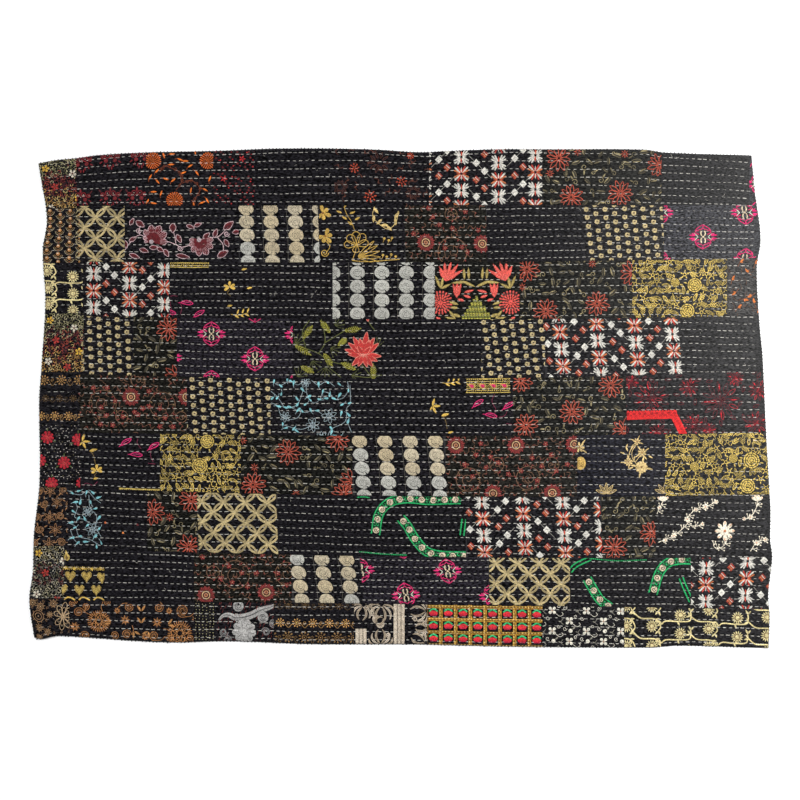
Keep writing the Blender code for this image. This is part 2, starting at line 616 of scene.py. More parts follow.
def dots(patch, start_x=14.0, start_y=8.0, drift=2.2):
    """Little round buds in staggered columns, each on a short stem. Columns drift to the right."""
    bud = crown(
        (
            (7.2, 1), (5.6, 5.4), (1, 7.6), (-4.6, 6), (-7.2, 1), (-5.8, -4.6), (-1, -7), (3.4, -5),
            (7, -5.4),
        ),
        0.9, 90,
    )
    for column in range(-2, int(patch.width / 29.4) + 2):
        for row in range(-1, int(patch.height / 26) + 2):
            x = start_x + 29.4 * column + drift * row + patch.random.normal(0, 0.7)
            y = start_y + 26.4 * row + (13 if column % 2 else 0) + patch.random.normal(0, 0.7)
            patch.line([(x + 4, y + 3), (x + 9, y + 6), (x + 13, y + 5)], 1.3, (130, 120, 100))
            patch.stamp(bud, x, y, (184, 166, 122), size=1.06, over=0.15)
            patch.stamp(oval(2.9, 2.4, 0.2, 6), x + 0.6, y - 0.4, (70, 50, 30), over=0.95)


def lattice(patch, start_x=17.0, start_y=9.0):
    """A net of crossing diagonals, each a pair of bulging strips round a dark slit."""
    for row in range(-1, int(patch.height / 32) + 2):
        for column in range(-2, int(patch.width / 68) + 2):
            x = start_x + 68 * column + (34 if row % 2 else 0)
            y = start_y + 32 * row
            for run in (-34, 34):
                for side in (-1, 1):
                    bulge = 5.8 * side
                    middle = (x + run / 2 - bulge * 0.69, y + 16 + bulge * 0.73 * (1 if run > 0 else -1))
                    shade = patch.random.uniform(0.85, 1.1)
                    colour = tuple(shade * c for c in (170, 153, 110))
                    patch.line([(x, y), middle, (x + run, y + 32)], 6.5, colour)
            patch.stamp(oval(3.8, 3.8, 0.5, 8), x, y, (190, 172, 124), over=0.5)


def roundels(patch, start_x, start_y, pitch_x, pitch_y, silver=(), all_silver=False):
    """Columns of thick satin roundels, each with a notch.

    silver is (column, from y, to y) for those in silver.
    """
    outline = tuple(
        (23.6 * math.cos(t) * (1 + 0.03 * math.sin(5 * t)), 20.6 * math.sin(t)) for t in np.linspace(
            0, 6.0, 18
        )
    )
    disc = crown(outline, 1.3, 90, 0.0, (1.0, 0.8, 0.5))
    for column in range(-1, int(patch.width / pitch_x) + 2):
        x = start_x + pitch_x * column
        if column > 0:
            patch.line(
                [(x - 28, -4), (x - 26, patch.height / 2), (x - 28, patch.height + 4)], 1.1, (84, 80, 72)
            )
        for row in range(-1, int(patch.height / pitch_y) + 2):
            y = start_y + pitch_y * row
            is_silver = all_silver or any(column == at and low < y < high for at, low, high in silver)
            warmth = patch.random.uniform(0.0, 0.5)
            cream = tuple(a + (b - a) * warmth for a, b in zip((180, 164, 132), (184, 178, 162)))
            colour = SILVER if is_silver else cream
            dark = tuple(0.42 * c for c in colour)
            patch.stamp(disc, x, y, colour, 8, over=0.1)
            patch.curl(x - 1, y, 14, 1.7, dark, 2.2, -30, 1, over=1.0)
            patch.stamp(blade(DROP, 12, 4.4, 11, 0.2), x, y, BLACK, 50, over=1.0)


def white_red(patch, columns, zigzags):
    """Columns of cross-shaped flowers with zigzags of diamonds between them.

    columns is (x, first y, first is white). zigzags is (middle x, y of a diamond on its left, phase of its
    whites).
    """
    for x, first, starts_white in columns:
        for row in range(-1, 6):
            cross_flower(patch, x, first + 53 * row, (row % 2 == 0) == starts_white)
    for x, first, phase in zigzags:
        spots = []
        for step in range(-4, int(patch.height / 26.5) + 2):
            side = 13 if step % 2 else -13
            spots.append((x + side, first + 26.5 * step, (step + phase) % 4 in (0, 1)))
        for spot, following in zip(spots, spots[1:]):
            if spot[2] and following[2]:
                dx, dy = following[0] - spot[0], following[1] - spot[1]
                ends = [
                    (spot[0] - 0.9 * dx, spot[1] - 0.9 * dy),
                    (following[0] + 0.9 * dx, following[1] + 0.9 * dy),
                ]
                patch.line(ends, 1.4, (150, 148, 140))
        for spot in spots:
            diamond(patch, *spot)


def cross_flower(patch, x, y, is_white):
    """Four arms of three bars each, white or striped, with slivers between them."""
    bar = blade(STROKE, 21.5, 4.7, 4.4, 0.7, 0.2)
    sliver = blade(LEAF, 18, 4.0, 3, 0.5)
    white, red, orange = (198, 195, 186), (180, 54, 40), (186, 104, 60)
    colours = (white, white, white) if is_white else (red, white, orange)
    for arm, turn in enumerate((45, 135, 225, 315)):
        order = colours if arm % 2 else colours[::-1]
        for colour, bend in zip(order, (-19, 0, 19)):
            patch.stamp(bar, x, y, colour, turn + bend, 1.02 if bend else 1.14)
    for turn in (90, 270):
        patch.stamp(sliver, x, y, red if is_white else white, turn, 1.0, 0.1)
        patch.stamp(sliver, x, y, orange if is_white else red, turn + 15, 0.8, 0.1)
    for turn in (0, 180):
        patch.stamp(sliver, x, y, white if is_white else red, turn, 0.8, 0.1)


def diamond(patch, x, y, is_white):
    """One satin diamond, white, or red crossed with bars of orange and white."""
    whole = crown(((12, 0), (6, 6.6), (0, 13), (-6, 6.6), (-12, 0), (-6, -6.6), (0, -13), (6, -6.6)), 0.8)
    if is_white:
        patch.stamp(whole, x, y, (204, 201, 192), size=0.98, over=0.2)
        patch.line([(x - 5, y + 1), (x, y - 2), (x + 5, y - 1)], 1.3, (132, 129, 120), 0.9)
        return
    patch.stamp(whole, x, y, (152, 50, 36), size=1.0, over=0.2)
    patch.line([(x - 8, y - 3), (x - 2, y + 2), (x + 3, y + 9)], 3.4, (186, 118, 78), 0.8)
    patch.line([(x - 3, y - 8), (x + 2, y - 2), (x + 8, y + 3)], 3.0, (190, 184, 172), 0.8)
    patch.line([(x - 6, y + 6), (x - 4, y + 3), (x - 1, y + 1)], 1.6, (40, 26, 24), 0.9)


def lotus(patch, flowers, starlets=(), colour=(172, 76, 56)):
    """Flowers of outlined petals over scattered dull leaves and curls."""
    clear = [(x, y, 44) for x, y in flowers] + [(x, y, 17) for x, y in starlets]
    for x, y in patch.scattered(31, 6, clear):
        turn = patch.random.uniform(0, 360)
        size = patch.random.uniform(0.8, 1.15)
        shade = patch.random.uniform(0.66, 1.1)
        dull = tuple(shade * c for c in (144, 132, 98))
        if patch.random.uniform() < 0.68:
            patch.stamp(blade(LEAF, 27, 10, -13, 0.4), x, y, (50, 46, 36), turn, size)
            patch.stamp(
                blade(LEAF, 25, 4.4, -12, 0.4), *turned([(0, -2.6)], turn, x, y, size)[0], dull, turn - 5,
                size, 0.2,
            )
            patch.line(
                turned([(-14, 1), (-3, 5), (8, 3.6), (15, 0)], turn, x, y, size), 1.5,
                tuple(0.75 * c for c in dull),
            )
        else:
            patch.curl(x, y, 9 * size, 1.8, dull, 1.1, turn)
            patch.stamp(blade(LEAF, 14, 5.0, 9), x, y, dull, turn + 30, size)
    petal = blade_outline(LEAF, 31, 12, 8)
    for x, y in flowers:
        for number in range(12):
            turn = 30 * number + 8 + patch.random.uniform(-4, 4)
            size = patch.random.uniform(0.88, 1.08)
            patch.outline(petal, x, y, 2.0, colour, turn, size, 0.1)
            if number % 2:
                patch.line(turned([(6, 2), (13, 5)], turn, x, y), 1.8, colour, 0.1)
        patch.ring(x, y, 5.0, 2.2, colour)
    for x, y in starlets:
        patch.petals(x, y, 8, blade(LEAF, 12, 2.7, 2), colour, over=0.1)


def medallions(patch, x, y, tilt=0.0):
    """Pointed medallions in a half-drop grid, one of them at (x, y)."""
    for column in range(-3, 4):
        for row in range(-3, 4):
            if (row + column) % 2 == 0:
                medallion(patch, x + 136 * column, y + 76 * row, tilt)


def medallion(patch, x, y, tilt):
    """Ogee arches above and below, leafy tips at both sides, and cream bars in the middle."""
    if not (-50 < x < patch.width + 50 and -45 < y < patch.height + 45):
        return
    cream, mint = (206, 188, 158), (190, 196, 176)
    for up in (-1, 1):
        for side in (-1, 1):
            outer = [
                (13 * side, 8 * up), (21 * side, 11 * up), (24 * side, 18 * up), (19 * side, 26 * up),
                (10 * side, 32 * up), (0, 38 * up),
            ]
            inner = [(16 * side, 17 * up), (14 * side, 22 * up), (6 * side, 23 * up), (0, 29 * up)]
            bar = [(4.5 * side, 3 * up), (7 * side, 11 * up), (5 * side, 19 * up)]
            patch.line(turned(outer, tilt, x, y), 2.7, MAGENTA)
            patch.line(turned(inner, tilt, x, y), 2.2, PINK)
            patch.line(turned(bar, tilt, x, y), 3.8, cream, 0.1)
            patch.line(turned([(16 * side, 0), (27 * side, 11 * up)], tilt, x, y), 2.8, mint, 0.2)
            spot = turned([(22 * side, 4 * up)], tilt, x, y)[0]
            away = tilt + (0 if side > 0 else 180)
            for bend, size in ((4, 1.15), (30, 0.85), (58, 0.6)):
                patch.stamp(blade(LEAF, 18, 5.2, 2), *spot, PINK, away + bend * side * up, size, 0.1)
            patch.stamp(oval(2.6, 2.6, 0.5, 7), *turned([(19 * side, 20 * up)], tilt, x, y)[0], MAGENTA)
        patch.stamp(oval(2.4, 2.4, 0.5, 7), *turned([(0, 33 * up)], tilt, x, y)[0], PINK)
    patch.stamp(oval(3.4, 3.4, 0.7, 8), x, y, cream, over=0.2)


def rosette(patch, x, y, radius, colour=GOLD):
    """A round flower of broken rings, its petals wound round its middle."""
    dark = tuple(0.3 * c for c in colour)
    patch.stamp(oval(1, 1, 0.4 / radius, 14), x, y, dark, size=radius * 0.92, shine=ZARI)
    for share, count in ((0.88, 11), (0.62, 8), (0.36, 5)):
        for number in range(count):
            turn = 360 * number / count + 40 * share
            half = 0.42 * 2 * math.pi / count
            arc = [(radius * share * math.cos(t), radius * share * math.sin(t)) for t in (-half, 0, half)]
            patch.line(turned(arc, turn, x, y), radius * 0.16, colour, 0.3, ZARI)
    patch.stamp(oval(1, 1, 0.5 / radius, 8), x, y, colour, size=radius * 0.16, over=0.4, shine=ZARI)


def gold_floral(patch, rosettes=(), mediums=()):
    """Close-set gold sprays, ring flowers and leaves, with a few larger rosettes."""
    clear = [(x, y, r + 8) for x, y, r in rosettes] + [(x, y, 22) for x, y in mediums]
    spray = blade(LEAF, 16, 3.3, 2)
    for x, y in patch.scattered(23, 2.6, clear):
        turn = patch.random.uniform(0, 360)
        kind = patch.random.uniform()
        shade = patch.random.uniform(0.78, 1.14)
        colour = tuple(shade * c for c in GOLD)
        if kind < 0.3:
            patch.ring(x, y, 4.8, 2.0, colour, shine=ZARI)
            patch.petals(x, y, 5, blade(LEAF, 9, 3.0, 6.4, 0.5), colour, turn, shine=ZARI)
        elif kind < 0.8:
            for number in range(3):
                for side in (-1, 1):
                    spot = turned([(6.5 * number - 9, 0)], turn, x, y)[0]
                    patch.stamp(spray, *spot, colour, turn + 36 * side, 0.8, shine=ZARI)
            patch.stamp(spray, *turned([(8, 0)], turn, x, y)[0], colour, turn, 0.8, shine=ZARI)
            patch.line(turned([(-16, 3), (-6, -1), (9, 0)], turn, x, y), 1.6, colour, shine=ZARI)
        else:
            patch.outline(blade_outline(LEAF, 25, 9, -12), x, y, 1.8, colour, turn, shine=ZARI)
            patch.line(turned([(-10, 0), (9, 1)], turn, x, y), 1.3, colour, shine=ZARI)
            patch.curl(x + 12, y + 6, 5, 1.8, colour, 1.1, turn, shine=ZARI)
    for x, y, radius in rosettes:
        rosette(patch, x, y, radius)
        for turn in range(15, 375, 60):
            patch.stamp(spray, x, y, GOLD, turn, 1.0, 0.1, ZARI)
            patch.stamp(blade(LEAF, 12, 4.4, radius + 1), x, y, GOLD, turn, shine=ZARI)
    for x, y in mediums:
        rosette(patch, x, y, 14)
        for turn in range(20, 380, 60):
            patch.stamp(blade(LEAF, 13, 4.6, 15), x, y, GOLD, turn, shine=ZARI)


def mandala(patch, flowers, circles=(), blossoms=()):
    """Fringed round flowers among fine circling vines."""
    vine, dusky = (124, 90, 68), (134, 46, 44)
    for x, y, radius in circles:
        patch.ring(x, y, radius, 1.7, vine)
        count = int(radius / 3.6)
        for number in range(count):
            spot = turned([(radius, 0)], 360 * number / count, x, y)[0]
            turn = 360 * number / count + (50 if number % 2 else 200)
            patch.stamp(blade(LEAF, 8.5, 3.8, 1), *spot, dusky if number % 3 else (120, 96, 62), turn)
        patch.curl(x, y, radius * 0.6, 1.5, vine, 1.2, x)
    for x, y in patch.scattered(30, 6, [(fx, fy, 32) for fx, fy in flowers]):
        turn = patch.random.uniform(0, 360)
        patch.line(turned([(-13, 4), (-5, -5), (5, 4), (13, -3)], turn, x, y), 1.4, (118, 84, 64))
        patch.stamp(blade(LEAF, 8, 3.6, 0), x, y, (124, 56, 48), turn + 60)
    for x, y in blossoms:
        patch.petals(x, y, 5, blade(PETAL, 7, 5, 1.2), dusky, x * 7, 0.1)
        patch.stamp(oval(1.8, 1.8, 0.5, 6), x, y, (186, 140, 104), over=0.5)
    for x, y in flowers:
        for number in range(26):
            length = 11 if number % 2 else 8
            patch.stamp(blade(STROKE, length, 4.0, 17.5), x, y, (134, 46, 44), 360 * number / 26)
        patch.ring(x, y, 16.4, 3.0, (108, 40, 38), 0.1)
        patch.ring(x, y, 11.6, 3.0, (196, 160, 118), 0.1)
        patch.stamp(oval(7.8, 7.8, 0.4, 10), x, y, (112, 58, 44), over=0.05)
        patch.ring(x, y, 4.6, 2.0, (190, 140, 100), 0.3)


# Designs that a patch has alone


def maroon_clusters(patch, places):
    """Ornaments the same on both sides: rings above, bars and ovals below."""
    red, dark = (122, 22, 30), (84, 20, 26)
    for x, y in places:
        for side in (-1, 1):
            for dx, dy, radius in ((9, -10, 7), (24, -6, 5.4), (14, 6, 4.6)):
                patch.ring(x + side * dx, y + dy, radius, 2.8, red)
                patch.stamp(oval(2.0, 2.0, 0.6, 6), x + side * dx, y + dy, (150, 60, 56), over=0.2)
            for dx, dy, turn in ((8, 17, 80), (17, 15, 60), (25, 8, 35), (4, 24, 88)):
                patch.stamp(
                    blade(STROKE, 10, 3.4, 0), x + side * dx, y + dy, red, turn if side > 0 else 180 - turn
                )
            patch.stamp(blade(LEAF, 14, 5, 0), x + side * 28, y - 12, dark, -50 if side > 0 else 230)
        patch.stamp(blade(LEAF, 16, 6, 14), x, y, red, -90)
        for dx, dy in ((0, -2), (9, -10), (-9, -10), (0, 12)):
            patch.stamp(oval(1.4, 1.4, 0.5, 6), x + dx, y + dy, (196, 176, 166), over=0.6)


ORANGE = (222, 104, 32)
CARNATIONS = ((22, 27), (194, 30), (90, 152))
ORANGE_LEAVES = (
    # x, y, turn
    (56, 11, 70), (82, 7, 0), (154, 2, 80), (107, 25, 20), (139, 45, -30), (80, 40, 0), (35, 59, -45),
    (14, 78, -60), (37, 93, 50), (63, 85, 20), (86, 89, -40), (160, 68, 55), (200, 85, -70), (25, 125, 0),
    (48, 129, -70), (141, 121, -80), (5, 155, -60), (25, 161, 10), (150, 167, 80), (177, 159, -20),
    (192, 153, 60), (124, 30, 0), (118, 66, -20), (186, 120, 30),
)
ORANGE_VINES = (
    ((44, 64), (59, 45), (105, 64), (113, 91), (94, 121)),
    ((113, 99), (143, 91), (169, 117), (154, 148), (147, 171)),
)


def orange_floral(patch):
    for points in ORANGE_VINES:
        patch.line(points, 1.4, (122, 56, 30))
        for number, (x, y) in enumerate(curve(points, 24)[1:-1]):
            patch.curl(x, y, 6, 1.3, (122, 56, 30), 1.2, 90 * number)
    for x, y, turn in ORANGE_LEAVES:
        patch.stamp(blade(LEAF, 20, 5.6, -10), x, y, (232, 116, 26), turn)
        patch.line(turned([(-10, 0), (-16, 4)], turn, x, y), 1.3, (150, 70, 30))
    for x, y in CARNATIONS:
        for count, start in ((6, 1), (9, 6), (14, 11), (18, 16), (22, 21)):
            colour = tuple(c * (0.72 + 0.012 * start) for c in ORANGE)
            patch.petals(x, y, count, blade(STROKE, 5.2, 3.6, start, 0.8), colour, start * 9, 0.1)


LARGE_RED_DOTS = ((90, 28), (33, 89))
RED_DOTS = (
    (22, 30), (63, 49), (105, 9), (59, 83), (116, 99), (48, 117), (105, 133), (22, 148), (124, 144),
    (86, 155),
    (56, 167), (124, 53),
)


def red_dots(patch):
    for number, (x, y) in enumerate(patch.scattered(25, 6)):
        for turn in range(0, 180, 60):
            patch.line(turned([(-4, 0), (4, 0)], turn + 17 * number, x, y), 1.2, (112, 30, 32))
        patch.line([(x + 6, y + 7), (x + 10, y + 8)], 2.0, (176, 34, 40))
    for x, y in LARGE_RED_DOTS:
        patch.petals(x, y, 5, blade(LEAF, 10, 4.0, 1), (184, 34, 38), 5, 0.2)
    for x, y in RED_DOTS:
        patch.stamp(oval(2.7, 1.9, 0.7, 7), x, y, (190, 38, 40), 31 * x, over=0.2)


def rust_flowers(patch):
    """Round bursts of short rust strokes over faint stars and stems."""
    bright, faint = (184, 70, 42), (92, 48, 34)
    for x, y in patch.scattered(44, 9):
        turn = patch.random.uniform(0, 360)
        patch.line(turned([(-14, 3), (-4, -4), (6, 3), (14, -2)], turn, x, y), 1.4, faint)
        patch.stamp(blade(LEAF, 10, 3.6, 0), x, y, faint, turn + 50)
    for x, y, radius in ((64, 59, 15), (211, 97, 17), (113, 146, 19), (239, 13, 11)):
        for share, count in ((0.62, 8), (0.18, 5)):
            shape = blade(LEAF, radius * 0.46, 4.2, radius * share, 0.6)
            patch.petals(x, y, count, shape, bright, 60 * share, 0.1)
    for x, y, radius in ((141, 40, 34), (248, 132, 24), (20, 118, 22)):
        for number in range(10):
            patch.outline(blade_outline(LEAF, radius * 0.6, 6, radius * 0.4), x, y, 1.2, faint, 36 * number)


def pink_edge(patch):
    medallion(patch, 33, 90, 0)
    for x, y in ((12, 30), (70, 24), (84, 130), (14, 150)):
        patch.line([(x - 8, y + 6), (x, y - 4), (x + 9, y + 3)], 3.0, PINK)


BRANCH_LEAVES = (
    # x, y, turn, length, width
    (48, 57, 35, 31, 18), (150, 70, 90, 30, 20), (169, 103, 60, 28, 15), (2, 121, 70, 26, 14),
    (25, 105, -30, 26, 13),
    (91, 131, 0, 28, 14), (111, 137, 30, 24, 13), (130, 148, 60, 26, 14), (181, 158, 10, 43, 14),
    (255, 94, -40, 26, 14),
    (283, 86, -70, 28, 14), (324, 62, -40, 38, 20), (349, 82, -10, 26, 14), (318, 117, 60, 26, 14),
    (306, 150, -30, 38, 19),
    (22, 50, -60, 24, 12), (60, 140, 15, 28, 14), (205, 66, 20, 26, 12), (30, 158, 20, 34, 14),
    (228, 60, -20, 24, 12),
)
BRANCH_STEMS = (
    ((0, 140), (20, 112), (48, 92), (83, 113)),
    ((83, 113), (130, 112), (160, 122), (178, 130), (210, 120), (232, 107)),
    ((232, 107), (262, 100), (288, 98), (305, 86), (325, 62)),
    ((48, 92), (44, 78), (50, 62)),
    ((160, 122), (156, 96), (150, 74)),
    ((288, 98), (306, 120), (308, 146)),
)
BRANCH_FANS = (
    # x, y, reach of each petal by its turn
    (83, 113, ((-180, 20), (-150, 28), (-120, 42), (-90, 51), (-60, 56), (-30, 54), (0, 49))),
    (232, 107, ((0, 43), (30, 48), (60, 52), (90, 49), (120, 42), (150, 34), (180, 29))),
)


def maroon_branch(patch):
    """Two fan-shaped flowers on leafy stems, filled in maroon and edged with a pale line."""
    fill, dark, edge = (94, 16, 24), (62, 12, 20), (200, 172, 176)
    for points in BRANCH_STEMS:
        patch.line(points, 2.2, edge)
    for x, y, turn, length, width in BRANCH_LEAVES:
        patch.stamp(blade(LEAF, length, width, -length / 2), x, y, fill, turn)
        patch.stamp(
            blade(LEAF, length, width * 0.42, -length / 2, 0.4), x, y + 2, dark, turn + 6, over=0.25
        )
        patch.outline(blade_outline(LEAF, length, width, -length / 2), x, y, 1.8, edge, turn, 1.0, 0.15)
    for x, y in ((43, 78), (173, 133), (318, 88)):
        patch.curl(x, y, 9, 2.2, edge, 1.6)
    for x, y, petals in BRANCH_FANS:
        scallops = []
        for turn, reach in petals:
            patch.stamp(blade(PETAL, reach - 4, reach * 0.42, 4), x, y, fill, turn, over=0.1)
            scallops += turned(
                [(reach * 0.8, -reach * 0.2), (reach, -3), (reach, 3), (reach * 0.8, reach * 0.2)], turn, x,
                y,
            )
            for bend in (-10, -3, 4, 11):
                patch.line(
                    turned([(reach * 0.56, 0), (reach * 0.95, 0)], turn + bend, x, y), 1.3, (186, 146, 150),
                    0.7,
                )
        patch.line(scallops, 1.8, edge, 0.5)
        patch.stamp(oval(7, 7, 1.1), x, y, (176, 160, 164), over=0.4)


SPRIG_GARLAND = ((178, 16), (171, 41), (189, 51), (204, 62), (219, 71), (239, 51), (243, 31))
SPRIG_BERRIES = ((212, 161), (226, 154), (240, 160), (200, 156), (204, 104), (218, 110), (228, 102))


def gold_sprigs(patch):
    """A tulip with a fan of leaves, a garland and orchids, in two golds."""
    ochre, pale = (190, 156, 76), (204, 178, 116)
    for x, y, turn in ((12, 24, 0), (20, 96, 30)):
        for bend, length in ((-100, 24), (-40, 20), (20, 26), (80, 20), (140, 24)):
            patch.stamp(blade(PETAL, length, 13, 2, 0.8), x, y, ochre, turn + bend, shine=ZARI)
        patch.stamp(oval(4, 4, 0.8), x, y, (150, 104, 50), over=0.6)
    patch.line([(20, 110), (34, 128), (22, 150)], 2.2, ochre, shine=ZARI)
    patch.curl(18, 148, 13, 2.6, ochre, 1.6, shine=ZARI)
    for x, y, turn in (
        (80, 8, -70), (72, 24, 200), (96, 26, -20), (88, 44, 210), (112, 46, -30), (104, 62, 220)
    ):
        patch.stamp(blade(LEAF, 19, 7, 0, 0.8), x, y, ochre, turn, shine=ZARI)
    patch.line([(78, 4), (88, 30), (102, 52), (112, 80)], 1.8, ochre, shine=ZARI)
    for number, (x, y) in enumerate(SPRIG_GARLAND):
        patch.stamp(blade(LEAF, 25, 9.5, -12, 0.8), x, y, pale, 50 + 43 * number, shine=ZARI)
    patch.line([(174, 4), (168, 34), (190, 60), (217, 74), (240, 54), (248, 18)], 1.8, pale, shine=ZARI)
    for bend, length, width in (
        (-92, 40, 26), (-132, 38, 26), (-52, 40, 26), (-176, 36, 22), (-12, 36, 22), (96, 22, 20)
    ):
        patch.outline(blade_outline(PETAL, length, width, 2), 117, 124, 2.2, ochre, bend, 1.0, 0.4, ZARI)
    patch.line([(117, 128), (112, 150), (104, 172)], 2.2, ochre, shine=ZARI)
    for bend in (-44, -30, -15, 0, 14):
        patch.outline(blade_outline(LEAF, 68, 10, 4), 120, 162, 1.9, ochre, bend, 1.0, 0.1, ZARI)
    patch.line([(103, 172), (150, 176), (252, 169)], 2.2, ochre, shine=ZARI)
    for x, y in SPRIG_BERRIES:
        patch.stamp(oval(4.2, 4.2, 0.8, 8), x, y, ochre, shine=ZARI)
        patch.line([(x, y + 3), (x - 4, y + 12)], 1.3, ochre)


def sprigged(patch, strip, pinks, golds, stems=()):
    """Pink leaf outlines and gold sprigs on fine stems, with a close-worked strip along one edge."""
    x0, x1, y0, y1 = strip
    if x1 > x0:
        tall = y1 - y0
        for x in np.arange(x0 + 4, x1, 6.5):
            for y in np.arange(y0 + 3, y1, 7.0):
                turn = patch.random.uniform(-70, 10)
                patch.stamp(blade(LEAF, 9, 2.6, -4), x, y, GOLD, turn, shine=ZARI)
        for x in np.arange(x0 + 14, x1 - 6, 34):
            if tall > 16:
                middle = (y0 + y1) / 2
                patch.stamp(blade(DROP, 22, 11, -10, 0.7), x, middle, (200, 40, 92), 24, over=0.3)
                patch.outline(blade_outline(DROP, 26, 15, -12), x, middle, 1.8, GOLD, 24, 1.0, 0.3, ZARI)
        for y in (y0, y1):
            patch.line([(x0, y), ((x0 + x1) / 2, y + 1), (x1, y)], 2.2, GOLD, shine=ZARI)
    for points in stems:
        patch.line(points, 1.3, (128, 40, 70))
    for x, y, turn in pinks:
        leaf = [(-16, 5), (-6, -4), (8, -6), (20, -2), (10, 5), (-4, 6)]
        patch.line(turned(leaf, turn, x, y), 2.4, PINK, closed=True)
        patch.line(turned([(-10, 2), (2, -1), (14, -1)], turn, x, y), 1.6, (206, 60, 120))
        patch.line(turned([(-15, 4), (-24, 7)], turn, x, y), 2.0, PINK)
    for x, y, kind in golds:
        gold_sprig(patch, x, y, kind)


def gold_sprig(patch, x, y, kind):
    """One small gold sprig.

    0 is three leaves, 1 a leaf on a long stem, 2 a flower, 3 a spray, 4 a small leaf.
    """
    colour = (212, 176, 84)
    dim = (140, 116, 66)
    if kind == 0:
        for turn in (-75, -2, 62, 120):
            patch.stamp(blade(LEAF, 25, 8, 1), x, y, colour, turn, 0.6 if turn == 120 else 1.0, shine=ZARI)
    elif kind == 1:
        patch.stamp(blade(LEAF, 26, 9.5, -13), x, y, colour, -14, shine=ZARI)
        patch.line([(x - 12, y + 4), (x - 2, y + 12), (x + 4, y + 30), (x + 6, y + 44)], 1.3, dim)
    elif kind == 2:
        for turn in (-88, -28, 14, 150, 196):
            patch.stamp(blade(PETAL, 18, 9, 1), x, y, colour, turn, shine=ZARI)
        patch.line([(x, y + 8), (x - 6, y + 18), (x + 4, y + 28)], 1.3, dim)
    elif kind == 3:
        for number in range(6):
            side = 1 if number % 2 else -1
            spot = (x - 20 + 8 * number, y + 6 - 1.5 * number)
            patch.stamp(blade(LEAF, 17, 5.6, 1), *spot, colour, -50 * side - 20, shine=ZARI)
        patch.line([(x - 30, y + 4), (x - 4, y + 6), (x + 24, y - 2)], 1.6, colour, shine=ZARI)
    else:
        patch.stamp(blade(LEAF, 18, 7, -9), x, y, colour, -12, shine=ZARI)


SALMON, SALMON_OLIVE = (214, 84, 74), (150, 132, 74)
BOUQUET_MIDDLE = 126.6
BOUQUET_PETALS = (
    # colour, width, start x, start y, end x, end y, on the left half
    (SALMON, 16, 33, 60, 12, 12), (SALMON, 16, 33, 60, 30, -2), (SALMON, 16, 33, 60, 52, -4),
    (SALMON, 16, 33, 60, 73, 6),
    (SALMON, 14, 33, 60, 88, 24), (SALMON_OLIVE, 11, 92, 56, 90, 18), (SALMON_OLIVE, 11, 106, 56, 104, 16),
    (SALMON_OLIVE, 11, 102, 62, 50, 66), (SALMON_OLIVE, 11, 126, 78, 78, 58),
    (SALMON_OLIVE, 11, 18, 84, 0, 40),
    (SALMON_OLIVE, 11, 18, 84, 26, 44), (SALMON_OLIVE, 11, 18, 84, 50, 68), (SALMON, 13, 68, 112, 56, 66),
    (SALMON, 13, 68, 112, 69, 58), (SALMON, 13, 68, 112, 82, 66), (SALMON, 10, 90, 96, 122, 88),
    (SALMON, 10, 92, 122, 70, 116), (SALMON, 10, 112, 112, 88, 104), (SALMON_OLIVE, 11, 74, 134, 40, 122),
    (SALMON_OLIVE, 11, 72, 144, 46, 142), (SALMON_OLIVE, 12, 66, 180, 42, 150),
    (SALMON_OLIVE, 12, 80, 172, 56, 162),
    (SALMON_OLIVE, 12, 70, 184, 30, 172), (SALMON, 12, 20, 184, 2, 172),
)


def salmon_bouquet(patch):
    """A bouquet, nearly the same on both sides of an upright line."""
    for side in (-1, 1):
        for colour, width, x0, y0, x1, y1 in BOUQUET_PETALS:
            x0, x1 = (BOUQUET_MIDDLE - side * (BOUQUET_MIDDLE - x) for x in (x0, x1))
            length, turn = math.hypot(x1 - x0, y1 - y0), math.degrees(math.atan2(y1 - y0, x1 - x0))
            patch.stamp(blade(LEAF, length, width * 0.86, 0.0, 0.8), x0, y0, colour, turn, over=0.1)
            lighter = tuple(min(1.25 * c + 12, 236) for c in colour)
            patch.line(turned([(length * 0.12, 0), (length * 0.85, 0)], turn, x0, y0), 1.5, lighter, 0.8)
        x, y = BOUQUET_MIDDLE - side * 109.6, 127
        patch.stamp(oval(37, 35, 0.2, 18), x, y, (48, 24, 22))
        for count, start, length in ((21, 26, 12), (17, 17, 11), (12, 8.5, 10), (7, 1, 8)):
            shape = blade(PETAL, length, 5.8, start, 0.8)
            patch.petals(x, y, count, shape, SALMON, start * 7, 0.02 * (30 - start))
    striped_triangle(patch, (127, 106), (78, 180), (176, 180))


def striped_triangle(patch, top, left, right):
    """Rows of short yellow-green dashes, set like bricks."""
    for number in range(14):
        share = (number + 0.5) / 14
        y = top[1] + (left[1] - top[1]) * share
        start, end = top[0] + (left[0] - top[0]) * share, top[0] + (right[0] - top[0]) * share
        for x in np.arange(start + 4.5 * (number % 2), end, 9.0):
            patch.stamp(
                blade(STROKE, 8, 3.8, 0), x, y, (176, 170, 76) if number % 3 else (120, 124, 60), -8
            )


